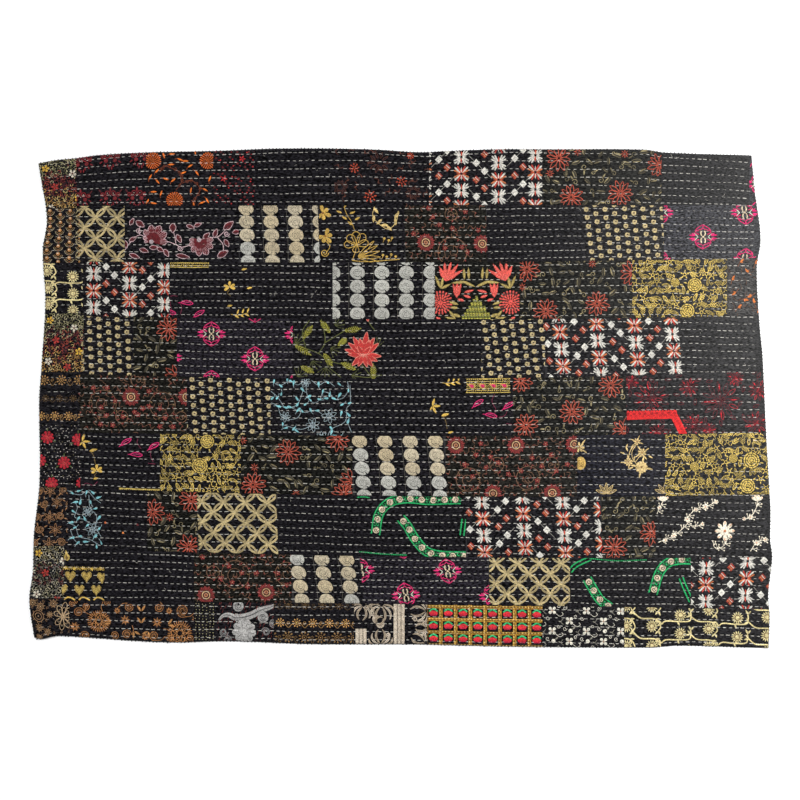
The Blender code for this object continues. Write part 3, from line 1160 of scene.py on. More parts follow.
ROSE_STEMS = (
    ((0, 75), (40, 92), (80, 108), (106, 126), (150, 140), (203, 137)),
    ((80, 108), (100, 74), (96, 30), (88, 0)),
    ((100, 74), (130, 56), (162, 36)),
    ((40, 92), (30, 40), (52, 4)),
    ((203, 137), (222, 150), (250, 189)),
    ((183, 175), (230, 182), (278, 175)),
    ((106, 126), (112, 150), (150, 182)),
    ((234, 2), (244, 20), (256, 35)),
)
ROSE_LEAVES = (
    # start x, start y, end x, end y
    (117, 44, 86, 5), (160, 37, 214, 29), (6, 82, 58, 114), (96, 107, 124, 148), (197, 158, 150, 136),
    (252, 190, 250, 138),
    (30, 62, 62, 20), (24, 148, 66, 168), (140, 84, 168, 60),
)
ROSE_FERNS = (
    # x, y, turn
    (8, 78, -50), (14, 182, -58), (103, 150, 96), (117, 90, 24), (183, 176, 8), (262, 88, -90),
    (60, 130, 60), (130, 20, -30),
)
ROSE_PETALS = (
    # length, width, turn
    (62, 19, 196), (50, 17, 182), (56, 18, 4), (48, 16, 24), (50, 18, 138), (46, 17, 52), (40, 16, 116),
    (40, 16, 74),
    (62, 18, -142), (60, 18, -38), (66, 20, -120), (64, 19, -58), (74, 22, -82), (54, 19, -104),
    (52, 19, -68), (38, 16, -90),
    (36, 14, -124), (34, 14, -50),
)


def rose(patch):
    """A large open flower with serrated leaves and fine ferns."""
    stem, leaf = (88, 92, 46), (148, 144, 52)
    for points in ROSE_STEMS:
        patch.line(points, 2.4, stem)
    for x, y, turn in ROSE_FERNS:
        for bend in (-50, -25, 0, 25, 50):
            patch.line(turned([(2, 0), (16, 1), (32 - abs(bend) * 0.2, 0)], turn + bend, x, y), 1.4, stem)
            patch.stamp(blade(LEAF, 9, 3, 24), x, y, stem, turn + bend)
    for x0, y0, x1, y1 in ROSE_LEAVES:
        length, turn = math.hypot(x1 - x0, y1 - y0), math.degrees(math.atan2(y1 - y0, x1 - x0))
        patch.line(turned([(0, 0), (length, 0)], turn, x0, y0), 1.8, leaf, 0.3)
        for share in np.arange(0.05, 0.98, 0.125):
            spot = turned([(length * share, 0)], turn, x0, y0)[0]
            reach = 15 * math.sin(math.pi * min(share + 0.12, 0.97)) ** 0.7
            for side in (-1, 1):
                patch.stamp(blade(LEAF, reach, 3.2, 0.5), *spot, leaf, turn + 44 * side)
    red, pale = (186, 50, 46), (222, 140, 124)
    for number, (length, width, turn) in enumerate(ROSE_PETALS):
        over = 0.1 + 0.09 * number
        patch.stamp(blade(LEAF, length, width, 0.0, 0.8), 221, 112, red, turn, over=over)
        patch.outline(blade_outline(LEAF, length, width, 0.0), 221, 112, 1.6, pale, turn, 0.98, over + 0.25)
        patch.line(
            turned([(length * 0.4, 0), (length * 0.8, 0)], turn, 221, 112), 1.3, (150, 30, 34), over + 0.9
        )
    patch.stamp(blade(PETAL, 22, 13, -4, 1.0), 234, 2, red, -100, over=0.1)
    patch.outline(blade_outline(PETAL, 22, 13, -4), 234, 2, 1.6, pale, -100, over=0.4)


TURQUOISE, PALE_VINE = (126, 190, 198), (150, 166, 172)
TURQUOISE_VINES = (
    ((0, 40), (22, 59), (44, 90), (62, 90), (85, 79), (101, 36), (96, 10)),
    (
        (110, 16), (116, 57), (135, 76), (154, 65), (163, 42), (185, 47), (200, 63), (226, 60), (243, 34),
        (240, 8),
    ),
    ((62, 90), (85, 100), (110, 106), (126, 100), (144, 100), (160, 110)),
    ((248, 20), (249, 75), (238, 92), (236, 125), (225, 140), (191, 157), (175, 185)),
    ((238, 130), (250, 160), (262, 184)),
    ((46, 120), (60, 128), (85, 122), (97, 100)),
    ((38, 145), (74, 155), (100, 158), (132, 145)),
    ((2, 76), (22, 87), (30, 110), (44, 118)),
    ((4, 10), (30, 22), (60, 8), (84, 20), (100, 10)),
    ((128, 6), (150, 20), (176, 8), (200, 24)),
)
TURQUOISE_LEAVES = (
    (34, 47), (22, 59), (7, 61), (81, 61), (85, 79), (101, 36), (117, 57), (122, 65), (154, 65), (163, 42),
    (171, 61), (185, 47), (200, 63), (214, 53), (243, 34), (249, 75), (226, 79), (44, 90), (23, 87),
    (62, 90),
    (85, 100), (97, 100), (111, 79), (126, 100), (144, 100), (220, 110), (242, 110), (243, 130), (38, 145),
    (46, 155), (74, 155), (83, 165), (191, 157), (189, 171), (200, 178), (220, 178), (10, 12), (30, 22),
    (66, 10),
    (72, 16), (52, 4), (150, 20), (176, 10), (216, 18),
)
TURQUOISE_FLOWERS = ((46, 120, 17), (183, 116, 24), (132, 145, 22), (160, 182, 18), (110, 12, 15))


def turquoise(patch, vines=TURQUOISE_VINES, leaves=TURQUOISE_LEAVES, flowers=TURQUOISE_FLOWERS):
    """Fine vines with single leaves and a few flowers drawn in line."""
    for points in vines:
        patch.line(points, 1.5, PALE_VINE)
    for number, (x, y) in enumerate(leaves):
        turn = 57 * number + 3 * x
        patch.stamp(blade(PETAL, 17, 7.6, -6), x, y, TURQUOISE, turn, 0.76 + 0.05 * (number % 7))
        patch.line(turned([(-6, 0), (-13, 3)], turn, x, y), 1.4, PALE_VINE)
    for x, y, radius in flowers:
        for number in range(7):
            turn = 360 / 7 * number + x
            patch.outline(
                blade_outline(LEAF, radius * 0.75, radius * 0.42, radius * 0.25), x, y, 1.3, PALE_VINE, turn
            )
        for number in range(5):
            patch.outline(
                blade_outline(PETAL, radius * 0.4, radius * 0.3, 1), x, y, 1.3, PALE_VINE, 72 * number,
                over=0.2,
            )


CRIMSON_FLOWERS = (
    (79, 75, 56), (294, 87, 60), (208, 161, 36), (98, 184, 32), (403, 158, 36), (196, 42, 30),
    (415, 58, 32),
    (14, 18, 26), (258, 176, 22), (344, 18, 26),
)


def crimson(patch):
    """Large many-petalled flowers drawn in fine line, and one bent satin band."""
    dark, bright = (98, 28, 36), (166, 34, 44)
    for x, y, reach in CRIMSON_FLOWERS:
        for ring, (start, length, count) in enumerate(((0.5, 0.5, 12), (0.2, 0.4, 8), (0.04, 0.24, 6))):
            for number in range(count):
                turn = 360 / count * number + 17 * ring + x
                colour = bright if patch.random.uniform() < 0.3 else dark
                shape = blade_outline(LEAF, reach * length, reach * length * 0.36, reach * start)
                patch.outline(shape, x, y, 1.4, colour, turn)
        for number in range(4):
            turn = 90 * number + y
            patch.stamp(blade(LEAF, reach * 0.34, 3.2, reach * 0.55), x, y, (206, 36, 48), turn, over=0.1)
    for x, y in patch.scattered(44, 8, [(fx, fy, reach) for fx, fy, reach in CRIMSON_FLOWERS]):
        patch.outline(blade_outline(LEAF, 20, 8, -10), x, y, 1.5, dark, patch.random.uniform(0, 360))
    satin = (206, 38, 38)
    patch.line([(142, 118), (160, 152), (178, 192)], 23, satin, 0.3)
    patch.line([(2, 128), (60, 127), (112, 127), (158, 126)], 25, satin, 0.35)
    for x in np.arange(6, 156, 9):
        patch.curl(x, 122 + 8 * (int(x) % 2), 4.6, 2.2, (138, 18, 28), 1.1, 13 * x, over=1.2)
        patch.stamp(oval(3.4, 3.0, 0.6, 7), x, 114.5, satin, over=0.4)
    for share in np.arange(0.1, 1.0, 0.13):
        patch.curl(148 + 30 * share, 126 + 60 * share, 4.4, 1.8, (150, 20, 28), 1.1, 400 * share, over=1.1)


def autumn_leaves(patch):
    places = (
        (87, 17), (66, 45), (15, 66), (27, 106), (51, 127), (76, 117), (81, 140), (32, 153), (93, 163),
        (40, 12),
    )
    for x, y in patch.scattered(30, 6):
        turn = patch.random.uniform(0, 360)
        patch.line(turned([(-12, 2), (0, -3), (12, 2)], turn, x, y), 1.3, (92, 66, 50))
    for x, y in places:
        turn = x * 7 + y * 3
        for bend, size in ((0, 1.0), (48, 0.62)):
            patch.stamp(blade(LEAF, 16, 6.4, 0), x, y, (204, 116, 58), turn + bend, size, 0.1)
        patch.line(turned([(0, 0), (-14, 5)], turn, x, y), 1.3, (140, 86, 56))


def gold_clusters(patch):
    """Loose clusters of pale gold flowers with lilies."""
    pale = (206, 180, 124)
    for x, y, count, size in (
        (187, 22, 7, 0.9), (203, 57, 8, 1.1), (160, 85, 8, 1.05), (201, 102, 12, 1.5), (7, 38, 7, 1.3)
    ):
        patch.petals(x, y, count, blade(PETAL, 11, 5.4, 2), pale, x, shine=ZARI, size=size)
        patch.petals(x, y, 4, blade(LEAF, 15, 4, 9), pale, y, shine=ZARI, size=size)
        patch.stamp(oval(2.4, 2.4, 0.5, 7), x, y, (150, 104, 60), over=0.7)
    patch.stamp(oval(16, 21, 1.1, 12), 11, 88, (206, 172, 96), over=0.1, shine=ZARI)
    patch.curl(11, 88, 12, 2.0, (132, 100, 48), 2.2, 40, over=1.1)
    for points in (
        ((186, 30), (172, 52), (174, 76), (190, 96)), ((180, 32), (166, 50), (160, 76)),
        ((196, 66), (184, 84)),
    ):
        patch.line(points, 2.0, pale, shine=ZARI)
    for x, y, turn in (
        (152, 44, -70), (158, 52, -110), (168, 44, -60), (150, 60, 200), (180, 66, 100), (222, 66, 30),
        (176, 100, 150),
    ):
        patch.stamp(blade(LEAF, 17, 5, 0), x, y, pale, turn, shine=ZARI)
    for x, y in ((91, 184), (275, 184)):
        for bend in (-160, -128, -90, -52, -20):
            patch.outline(blade_outline(LEAF, 32, 9, 2), x, y, 1.7, pale, bend, 1.0, 0.1, ZARI)
            patch.line(turned([(6, 0), (25, 0)], bend, x, y), 1.4, pale, shine=ZARI)


def orange_spots(patch):
    for x, y, colour in ((8, 104, (226, 110, 50)), (63, 134, (226, 130, 60)), (108, 107, (120, 32, 34))):
        patch.stamp(oval(3.0, 3.6, 0.6, 8), x, y, colour)
        patch.stamp(oval(1.6, 1.6, 0.5, 6), x + 4, y + 2, tuple(0.6 * c for c in colour))


ARCS_UPPER = (
    ((58, 119), (69, 58), (103, 20), (156, 8), (220, 12), (284, 10), (322, 9)),
    ((138, 70), (159, 96), (181, 133), (216, 171), (262, 184), (341, 186)),
    ((334, 72), (328, 119)),
)
ARCS_LOWER = (
    ((1, 41), (20, 22), (62, 2)),
    ((54, 67), (69, 94), (93, 131), (123, 154)),
    ((259, 109), (278, 48), (305, 16), (343, 6), (378, 6)),
    ((347, 63), (358, 90), (377, 131)),
)
UPPER_THIN_ARCS = (((9, 176), (80, 182), (153, 184)), ((0, 6), (20, 4), (38, 6)))
LOWER_THIN_ARCS = (((62, 2), (150, 9), (237, 6)),)


def green_arcs(patch, arcs, thin):
    """Bands edged with green beads, with green curls and pale swirls between the edges."""
    green, leaf = (28, 164, 92), (20, 112, 60)
    for points in arcs:
        path = curve(points, 6.0)
        heading = np.gradient(path, axis=0)
        aside = np.column_stack((-heading[:, 1], heading[:, 0])) / np.hypot(*heading.T)[:, None]
        reach = 13 if len(points) > 3 else 6
        for side in (-1, 1):
            edge = path + aside * reach * side
            patch.line(edge[::3], 2.0, leaf)
            for number, (x, y) in enumerate(curve(edge, 5.0)):
                patch.stamp(oval(2.9, 2.2, 0.6, 6), x, y, green, 60 * number, over=0.3)
        if reach < 13:
            continue
        for number, (x, y) in enumerate(path[2::2]):
            if number % 3:
                for turn in range(0, 360, 60):
                    patch.stamp(
                        blade(LEAF, 9, 3.4, 2), x, y, green if turn % 120 else leaf, turn + 25 * number
                    )
                continue
            patch.stamp(oval(10, 10, 0.8, 14), x, y, (208, 190, 164), over=0.1)
            patch.curl(x, y, 7, 2.4, (70, 50, 42), 1.2, 50 * number, over=0.9)
    for points in thin:
        patch.line(points, 2.2, leaf)
        for x, y in curve(points, 6.0):
            patch.stamp(oval(2.2, 2.2, 0.6, 6), x, y, green, over=0.3)


CREAM_BRANCHES = (
    ((8, 145), (57, 124), (98, 88), (98, 71), (125, 42), (155, 35), (189, 20)),
    ((292, 175), (315, 149), (349, 137)),
    ((216, 118), (222, 140), (210, 158), (190, 166), (180, 156), (188, 148)),
    ((318, 20), (314, 39), (296, 69), (276, 74)),
    ((23, 16), (12, 36), (4, 56)),
    ((98, 88), (124, 96), (146, 88)),
)
CREAM_BLOOMS = (
    # x, y, radius
    (57, 124, 9), (98, 73, 9), (155, 35, 10), (315, 149, 9), (30, 138, 7), (125, 44, 7), (189, 20, 7),
    (146, 88, 6),
    (296, 69, 8), (342, 139, 8), (12, 36, 7), (276, 74, 6),
)


def cream_branches(patch):
    """Fine flowering branches with forked twigs, and one large star flower."""
    cream, peach = (232, 222, 200), (226, 168, 132)
    for points in CREAM_BRANCHES:
        patch.line(points, 1.9, cream)
        for number, (x, y) in enumerate(curve(points, 14)[1:-1]):
            side = -1 if number % 2 else 1
            for bend in (30, 66):
                patch.line(turned([(0, 0), (6, 1), (13, 0)], bend * side - 30, x, y), 1.4, cream)
                patch.stamp(oval(2.3, 2.3, 0.6, 6), *turned([(14, 0)], bend * side - 30, x, y)[0], cream)
    for x, y, radius in CREAM_BLOOMS:
        patch.petals(x, y, 6, blade(PETAL, 7, 5, 1.5), cream, x, 0.1, size=radius / 8)
        patch.stamp(oval(2.4, 2.4, 0.6, 7), x, y, peach, over=0.6)
    for number in range(8):
        patch.stamp(blade(PETAL, 25, 12, 6, 0.9), 216, 111, cream, 45 * number, over=0.1)
        patch.stamp(blade(LEAF, 12, 4, 20, 0.5), 216, 111, peach, 45 * number, over=0.7)
        patch.stamp(blade(PETAL, 13, 8, 2, 0.8), 216, 111, (236, 226, 206), 45 * number + 22, over=0.5)
    patch.stamp(oval(4.6, 4.6, 1.0), 216, 111, (206, 140, 100), over=1.2)
    for x, y, turn in ((23, 16, -90), (318, 20, -90)):
        for bend in (-52, -18, 18, 52):
            patch.stamp(blade(PETAL, 22, 9, 0, 0.8), x, y, cream, turn + bend, over=0.1)
            patch.stamp(blade(LEAF, 8, 3.2, 14, 0.4), x, y, peach, turn + bend, over=0.7)


HEARTS = ((19, 85), (70, 85), (118, 87), (47, 127), (100, 127), (-5, 126))
HEART = (
    (0, 21), (-8, 9), (-15, 0), (-16, -9), (-10, -15), (-4, -13), (0, -8), (4, -13), (10, -15), (16, -9),
    (15, 0), (8, 9),
)


def hearts(patch):
    gold = (196, 170, 92)
    for x, y in HEARTS:
        patch.stamp(crown(HEART, 1.0), x, y, gold, shine=ZARI)
        for turn in range(0, 360, 60):
            patch.stamp(blade(LEAF, 7, 2.2, 2), x, y - 3, (112, 88, 44), turn, over=0.85)
        patch.outline(HEART, x, y, 1.6, (128, 100, 52), 0, 0.8, 0.8, ZARI)
    for x in range(-4, 130, 9):
        shade = 0.75 + 0.35 * ((x // 9) % 3 == 0)
        colour = tuple(shade * c for c in (210, 176, 80))
        patch.petals(
            x, 60 + 2 * ((x // 9) % 2), 5, blade(PETAL, 5.4, 3.2, 0.6, 0.5), colour, 20 * x, shine=ZARI
        )
    for x in (12, 58, 104):
        patch.line(
            [(x - 12, 159), (x - 2, 151), (x + 10, 153), (x + 22, 160)], 4.4, (206, 172, 84), shine=ZARI
        )
    patch.stamp(blade(DROP, 38, 19, -19, 0.9), 7, 20, gold, 82, shine=ZARI)
    patch.stamp(blade(DROP, 20, 8, -8, 0.5), 7, 23, (116, 90, 46), 82, over=0.85)


# Designs of the border column and of the bottom band

SPECK_COLOURS = (
    # from the top of a patch to its bottom
    ((150, 146, 104), (188, 178, 140), (104, 100, 64)),
    ((112, 34, 36), (84, 30, 30), (150, 62, 48)),
    ((186, 146, 74), (150, 110, 56), (206, 182, 120)),
)
GREY_SPECKS = (
    ((196, 188, 166), (120, 118, 104), (150, 140, 100)),
    ((120, 118, 112), (104, 48, 42), (92, 90, 66)),
    ((190, 180, 150), (104, 100, 74), (140, 134, 120)),
)
SPECK_FLOWERS = ((18, 22), (96, 46), (40, 84), (112, 120), (20, 150), (78, 168))


def dense_specks(patch, colours=SPECK_COLOURS):
    """Tiny close-set curls in many colours with a few flowers."""
    clear = [(x, y, 13) for x, y in SPECK_FLOWERS]
    for x, y in patch.scattered(8.2, 1.6, clear):
        third = min(max(int(3 * y / patch.height + patch.random.normal(0, 0.35)), 0), 2)
        colour = colours[third][patch.random.integers(3)]
        turn = patch.random.uniform(0, 360)
        if patch.random.uniform() < 0.6:
            patch.line(turned([(-5, 2), (-1, -3), (4, -1), (3, 4)], turn, x, y), 1.5, colour)
        else:
            patch.stamp(blade(LEAF, 8, 3.0, -4, 0.6), x, y, colour, turn)
    for number, (x, y) in enumerate(SPECK_FLOWERS):
        colour = ((206, 166, 60), (206, 198, 180), (164, 50, 42))[number % 3]
        patch.petals(x, y, 5, blade(PETAL, 10, 7.4, 2, 0.8), colour, 20 * number, 0.1)
        patch.stamp(oval(2.8, 2.8, 0.8, 7), x, y, (90, 50, 36), over=0.5)


def scales_and_beads(patch):
    """A fine net of scales with an amber bead in each."""
    for column in range(-1, 5):
        for row in range(-1, 9):
            x, y = 12 + 33 * column, 8 + 24.6 * row + (12 if column % 2 else 0)
            patch.stamp(oval(5.6, 5.6, 1.0), x, y, (176, 124, 66), over=0.2, shine=ZARI)
            # painted highlight: a whitish drop on each bead, for the glint of light on it
            patch.stamp(blade(DROP, 7, 4.4, -4, 0.5), x - 1, y - 2, (214, 206, 188), 40, over=1.0)
            for reach, shade in ((10.5, (150, 116, 66)), (15, (168, 156, 128))):
                arc = [(reach * math.cos(t), reach * math.sin(t)) for t in (2.9, 2.2, 1.57, 0.9, 0.25)]
                patch.line(turned(arc, 0, x, y), 1.5, shade, shine=ZARI)
            patch.stamp(blade(LEAF, 8, 2.6, 7), x, y, (128, 48, 40), -90)


def gold_waves(patch, columns):
    """Round flowers on stems that wave across the patch.

    columns is (x, its flowers' y, stems rise from them).
    """
    gold, stem = (212, 198, 146), (214, 198, 144)
    rising = ((-57, -39), (-34, -23), (11, -20), (27, 2), (20, 14))
    falling = ((-59, 27), (-45, 18), (-9, 20), (27, 18), (33, 2), (32, -11))
    for x, places, rises in columns:
        for y in places:
            line = [(x + dx, y + dy) for dx, dy in (rising if rises else falling)]
            patch.line(line, 4.0, stem, shine=ZARI)
            for end, turn in ((line[0], 200), (line[-1], 100 if rises else -80), (line[2], 30)):
                for bend in (-34, 34):
                    patch.stamp(blade(LEAF, 15, 6, 0), *end, gold, turn + bend, shine=ZARI)
            patch.petals(x, y, 14, blade(LEAF, 12, 4.2, 7.5, 0.8), gold, 0, 0.2, ZARI)
            patch.stamp(oval(8, 8, 1.1, 12), x, y, gold, over=0.3, shine=ZARI)
            patch.ring(x, y, 7.4, 1.8, (128, 100, 60), 1.0)


def florets(patch, rows, bronze=(164, 126, 74)):
    """Rows of small round flowers on curving stems: (y, first x, pitch, radius, shade)."""
    for y, start, pitch, radius, shade in rows:
        colour = tuple(c * shade for c in bronze)
        size = radius / 15
        for column in range(-1, int(patch.width / pitch) + 2):
            x = start + pitch * column
            patch.petals(x, y, 9, blade(PETAL, 6.4, 3.8, 8, 0.7), colour, 0, shine=ZARI, size=size)
            patch.ring(x, y, 5.2 * size, 1.8, colour, 0.1, ZARI)
            patch.stamp(oval(1.8, 1.8, 0.5, 6), x, y, tuple(min(1.3 * c, 240) for c in colour), shine=ZARI)
            patch.curl(x + pitch / 2, y, 6, 1.6, tuple(0.8 * c for c in colour), 1.2, 90, shine=ZARI)
            points = [(x + radius, y + 4), (x + pitch / 2, y + radius), (x + pitch - radius, y + 4)]
            patch.line(points, 1.5, tuple(0.8 * c for c in colour), shine=ZARI)


def red_roses(patch):
    places = ((25, 40), (120, 47), (76, 119), (38, 184), (133, 184), (0, 112))
    for x, y in patch.scattered(12, 2.4, [(px, py, 22) for px, py in places]):
        colour = (186, 178, 170) if patch.random.uniform() < 0.7 else (96, 88, 64)
        patch.stamp(oval(1.7, 1.7, 0.5, 6), x, y, colour)
    for x, y in places:
        patch.stamp(oval(18, 18, 0.4, 14), x, y, (84, 20, 26))
        for count, start in ((9, 11), (7, 5), (3, 0.5)):
            patch.petals(
                x, y, count, blade(PETAL, 9, 8.6, start, 0.9), (172, 30, 44), start * 8, 0.4 - 0.02 * start
            )
        patch.curl(x, y, 6, 1.4, (206, 90, 84), 1.3, over=1.1)
        for turn in (30, 150, 270):
            patch.stamp(blade(LEAF, 11, 4, 19), x, y, (84, 96, 52), turn)


def bronze_scroll(patch, bronze=(166, 122, 80)):
    """Star flowers and swirls drawn in fine double lines."""
    for number, (x, y) in enumerate(patch.scattered(41, 4)):
        if number % 2:
            for turn in range(0, 360, 60):
                patch.outline(
                    blade_outline(LEAF, 17, 6, 3), x, y, 1.2, bronze, turn + 30 * number, shine=ZARI
                )
            patch.ring(x, y, 3, 1.4, bronze, shine=ZARI)
        else:
            hand = 1 if number % 4 else -1
            patch.curl(x, y, 15, 1.6, bronze, 1.5, 50 * number, hand, shine=ZARI)
            patch.curl(x, y, 10, 1.4, bronze, 1.3, 50 * number, hand, shine=ZARI)
            for bend in (0, 90, 180):
                patch.stamp(blade(LEAF, 12, 3.6, 13), x, y, bronze, bend + 20 * number, shine=ZARI)


def corner_circles(patch):
    """Rings of many sizes, and one large lobed leaf."""
    bronze, pale = (158, 124, 86), (184, 158, 122)
    for x, y, radius in (
        (24, 52, 16), (33, 23, 9), (72, 16, 9), (60, 50, 6), (23, 86, 8), (48, 101, 7), (20, 116, 7),
        (10, 12, 8),
    ):
        patch.ring(x, y, radius, 1.8, bronze, shine=ZARI)
        patch.ring(x, y, radius * 0.6, 1.6, bronze, shine=ZARI)
        patch.petals(x, y, 9, blade(STROKE, 3.4, 1.8, radius + 1.6), bronze, x, shine=ZARI)
        patch.stamp(oval(2.0, 2.0, 0.5, 6), x, y, pale, shine=ZARI)
    for turn, length in (
        (-150, 26), (-110, 34), (-78, 44), (-46, 36), (-14, 26), (24, 30), (60, 36), (96, 40), (132, 30)
    ):
        for size, width in ((1.0, 1.8), (0.66, 1.3)):
            patch.outline(blade_outline(PETAL, length, 15, 3), 99, 58, width, pale, turn, size, 0.1, ZARI)
    for x, y in patch.scattered(21, 3, [(24, 52, 24), (99, 58, 40)]):
        patch.curl(x, y, 4.6, 1.3, (120, 90, 60), 1.1, 9 * x, shine=ZARI)


SUN_SPIRALS = (
    (28, 38, 14), (353, 27, 18), (50, 18, 10), (116, 4, 10), (187, 18, 12), (278, 18, 12), (178, 104, 13),
    (264, 104, 13),
    (140, 108, 11), (48, 116, 12), (392, 118, 12), (312, 108, 10), (8, 10, 9),
)
SUN_FLOWERS = (
    (16, 88, 17), (173, 59, 16), (273, 63, 16), (148, 30, 10), (236, 108, 11), (310, 28, 10), (394, 52, 13)
)
SUN_CHEVRONS = (
    (223, 68, -90), (223, 32, -90), (130, 70, 200), (306, 70, -20), (200, 92, 60), (246, 90, 120)
)


def bronze_suns(patch):
    """Two large sunflowers, curls and flowers drawn in fine bronze lines."""
    bronze, dull = (182, 124, 70), (140, 98, 62)
    for x, y, radius in ((91, 66, 36), (344, 95, 38)):
        patch.petals(x, y, 30, blade(LEAF, radius * 0.36, 2.6, radius * 0.68), bronze, shine=ZARI)
        patch.ring(x, y, radius * 0.7, 1.8, bronze, shine=ZARI)
        for number in range(9):
            shape = blade_outline(LEAF, radius * 0.42, radius * 0.18, radius * 0.2)
            patch.outline(shape, x, y, 1.5, bronze, 40 * number, shine=ZARI)
        for number in range(14):
            spot = turned([(radius * (0.3 + 0.3 * (number % 2)), 0)], 51 * number, x, y)[0]
            patch.stamp(blade(LEAF, 8, 2.6, -4), *spot, (190, 140, 84), 97 * number, over=0.2, shine=ZARI)
    for number, (x, y, radius) in enumerate(SUN_SPIRALS):
        hand = 1 if number % 2 else -1
        patch.curl(x, y, radius + 3, 1.5, bronze, 1.9, 60 * number, hand, shine=ZARI)
        patch.curl(x, y, radius - 2, 1.3, dull, 1.5, 60 * number, hand, shine=ZARI)
        tail = [(radius + 3, 0), (radius + 8, -14), (radius + 4, -30)]
        patch.line(turned(tail, 60 * number, x, y), 1.5, bronze, shine=ZARI)
    for x, y, radius in SUN_FLOWERS:
        for number in range(8):
            patch.stamp(blade(LEAF, radius * 0.9, 3.0, 2), x, y, bronze, 45 * number + x, shine=ZARI)
            patch.stamp(blade(LEAF, radius * 0.6, 2.0, 3), x, y, dull, 45 * number + x + 22, shine=ZARI)
    for x, y, turn in SUN_CHEVRONS:
        for bend in (-32, 32):
            patch.stamp(blade(LEAF, 22, 7, 2), x, y, (184, 132, 78), turn + bend, shine=ZARI)


def silver_flower(patch):
    """A dark strip of dots, then a large silver flower under a heavy scroll."""
    silver, line, dark = (170, 168, 165), (140, 139, 138), (70, 69, 70)
    for x in range(6, 66, 11):
        for y in np.arange(4 + x % 5, patch.height, 9.0):
            patch.stamp(oval(1.3, 1.3, 0.5, 6), x + patch.random.normal(0, 0.9), y, (196, 188, 140))
    scroll = [
        (78, 56), (92, 42), (110, 40), (130, 48), (156, 46), (182, 38), (208, 24), (238, 14), (268, 2)
    ]
    patch.line(scroll, 22, silver, shine=ZARI, taper=True)
    patch.line(scroll, 3.0, dark, 0.95, taper=True)
    for x, y, radius in ((139, 12, 17), (216, 45, 17)):
        patch.stamp(oval(1, 1, 1.1 / radius, 12), x, y, silver, size=radius, over=0.3, shine=ZARI)
        patch.curl(x, y, radius * 0.7, 1.6, dark, 1.8, 50, over=1.4)
    for count, start, length in ((9, 12, 26), (7, 3, 20)):
        patch.petals(
            157, 89, count, blade(PETAL, length, 21, start, 0.9), silver, start, 0.1 + 0.02 * length, ZARI
        )
    for number in range(9):
        patch.line(turned([(16, 0), (33, 0)], 40 * number + 14, 157, 89), 1.5, dark, 1.3)
    patch.stamp(oval(6, 6, 1.2), 157, 89, (196, 194, 190), over=1.1, shine=ZARI)
    for x, y, start in ((93, 94, 0), (225, 90, 180), (250, 62, 90), (104, 118, 270)):
        for radius, width in ((15, 2.0), (10, 1.6)):
            patch.curl(x, y, radius, width, line, 1.5, start, shine=ZARI)
    for x, y in patch.scattered(15, 4, [(157, 89, 42), (139, 12, 18), (216, 45, 18)]):
        if x > 72:
            patch.line([(x - 3, y + 5), (x, y), (x + 1, y - 6)], 1.2, (112, 44, 40))


def satin_scroll(patch):
    """Broad three-strand bars, with palmettes of long curved satin strokes between them."""
    beige, light, slit = (170, 154, 132), (196, 182, 162), (92, 80, 68)
    for x, start, end in ((141, -5, 140), (22, 78, 140)):
        for shift in (-12, 0, 12):
            patch.line([(x + shift, start), (x + shift, (start + end) / 2), (x + shift, end)], 10, light)
        for shift in (-6, 6):
            patch.line(
                [(x + shift, start), (x + shift + 0.4, (start + end) / 2), (x + shift, end)], 1.6, slit, 0.6
            )
    palmettes = (
        # x, y, which way it opens, reach, strokes on each side
        (30, 2, 100, 50, 3), (86, -2, 95, 62, 4), (84, 132, -92, 52, 3), (64, 66, -40, 34, 2),
        (232, 20, 176, 56, 4),
        (228, 122, 205, 52, 3), (232, 74, 180, 40, 2),
    )
    for x, y, way, reach, count in palmettes:
        for side in (-1, 1):
            for number in range(count):
                turn = way + side * (12 + 25 * number)
                length = reach * (1 - 0.07 * number)
                arc = [
                    (length * 0.16, 0), (length * 0.5, 7 * side), (length * 0.8, 5 * side),
                    (length, -5 * side),
                ]
                patch.line(
                    turned(arc, turn, x, y), 7.0, light if number % 2 else beige, 0.05 * number, taper=True
                )
                patch.line(turned(arc, turn, x, y), 1.2, slit, 0.8, taper=True)
    for x, y in ((58, 30), (108, 98), (190, 48)):
        patch.curl(x, y, 8, 3.0, light, 1.4, x, over=0.4)


def strawberries(patch):
    """A check of gold bars with a berry in each window."""
    gold = (172, 128, 42)
    for column in range(9):
        x = -4.7 + 46.1 * column
        patch.line([(x, -4), (x + 1, 65), (x, patch.height + 4)], 11, gold, 0.2, ZARI)
        for y in np.arange(4, patch.height, 9.0):
            patch.stamp(
                blade(STROKE, 7, 2.6, -3.5, 0.3), x + 3 * (int(y) % 2), y, (104, 68, 30), 90, over=1.0
            )
            patch.stamp(blade(STROKE, 5, 2.4, -2.5, 0.3), x - 2, y + 4.5, (226, 196, 120), 90, over=1.0)
    for row in range(4):
        y = 7 + 40.3 * row
        patch.line([(-4, y), (180, y + 1), (patch.width + 4, y)], 10, gold, 0.0, ZARI)
        for x in np.arange(2, patch.width, 10.0):
            patch.stamp(blade(STROKE, 7, 2.6, -3.5, 0.3), x, y + 2 * (int(x) % 2), (104, 68, 30), over=0.9)
            patch.stamp(blade(STROKE, 5, 2.4, -2.5, 0.3), x + 5, y - 2, (226, 196, 120), over=0.9)
        for column in range(8):
            x, middle = 19 + 46.1 * column, y + 20
            patch.stamp(oval(14, 8.2, 1.2, 12), x, middle + 1, (206, 40, 50), over=0.1)
            for dx in (-7, 0, 7):
                patch.stamp(blade(DROP, 9, 5.0, 0, 0.5), x + dx, middle + 1, (178, 22, 66), 90, over=0.9)
            patch.line(
                [(x - 13, middle - 5), (x, middle - 12.5), (x + 13, middle - 5)], 5.0, (46, 168, 102), 0.5
            )


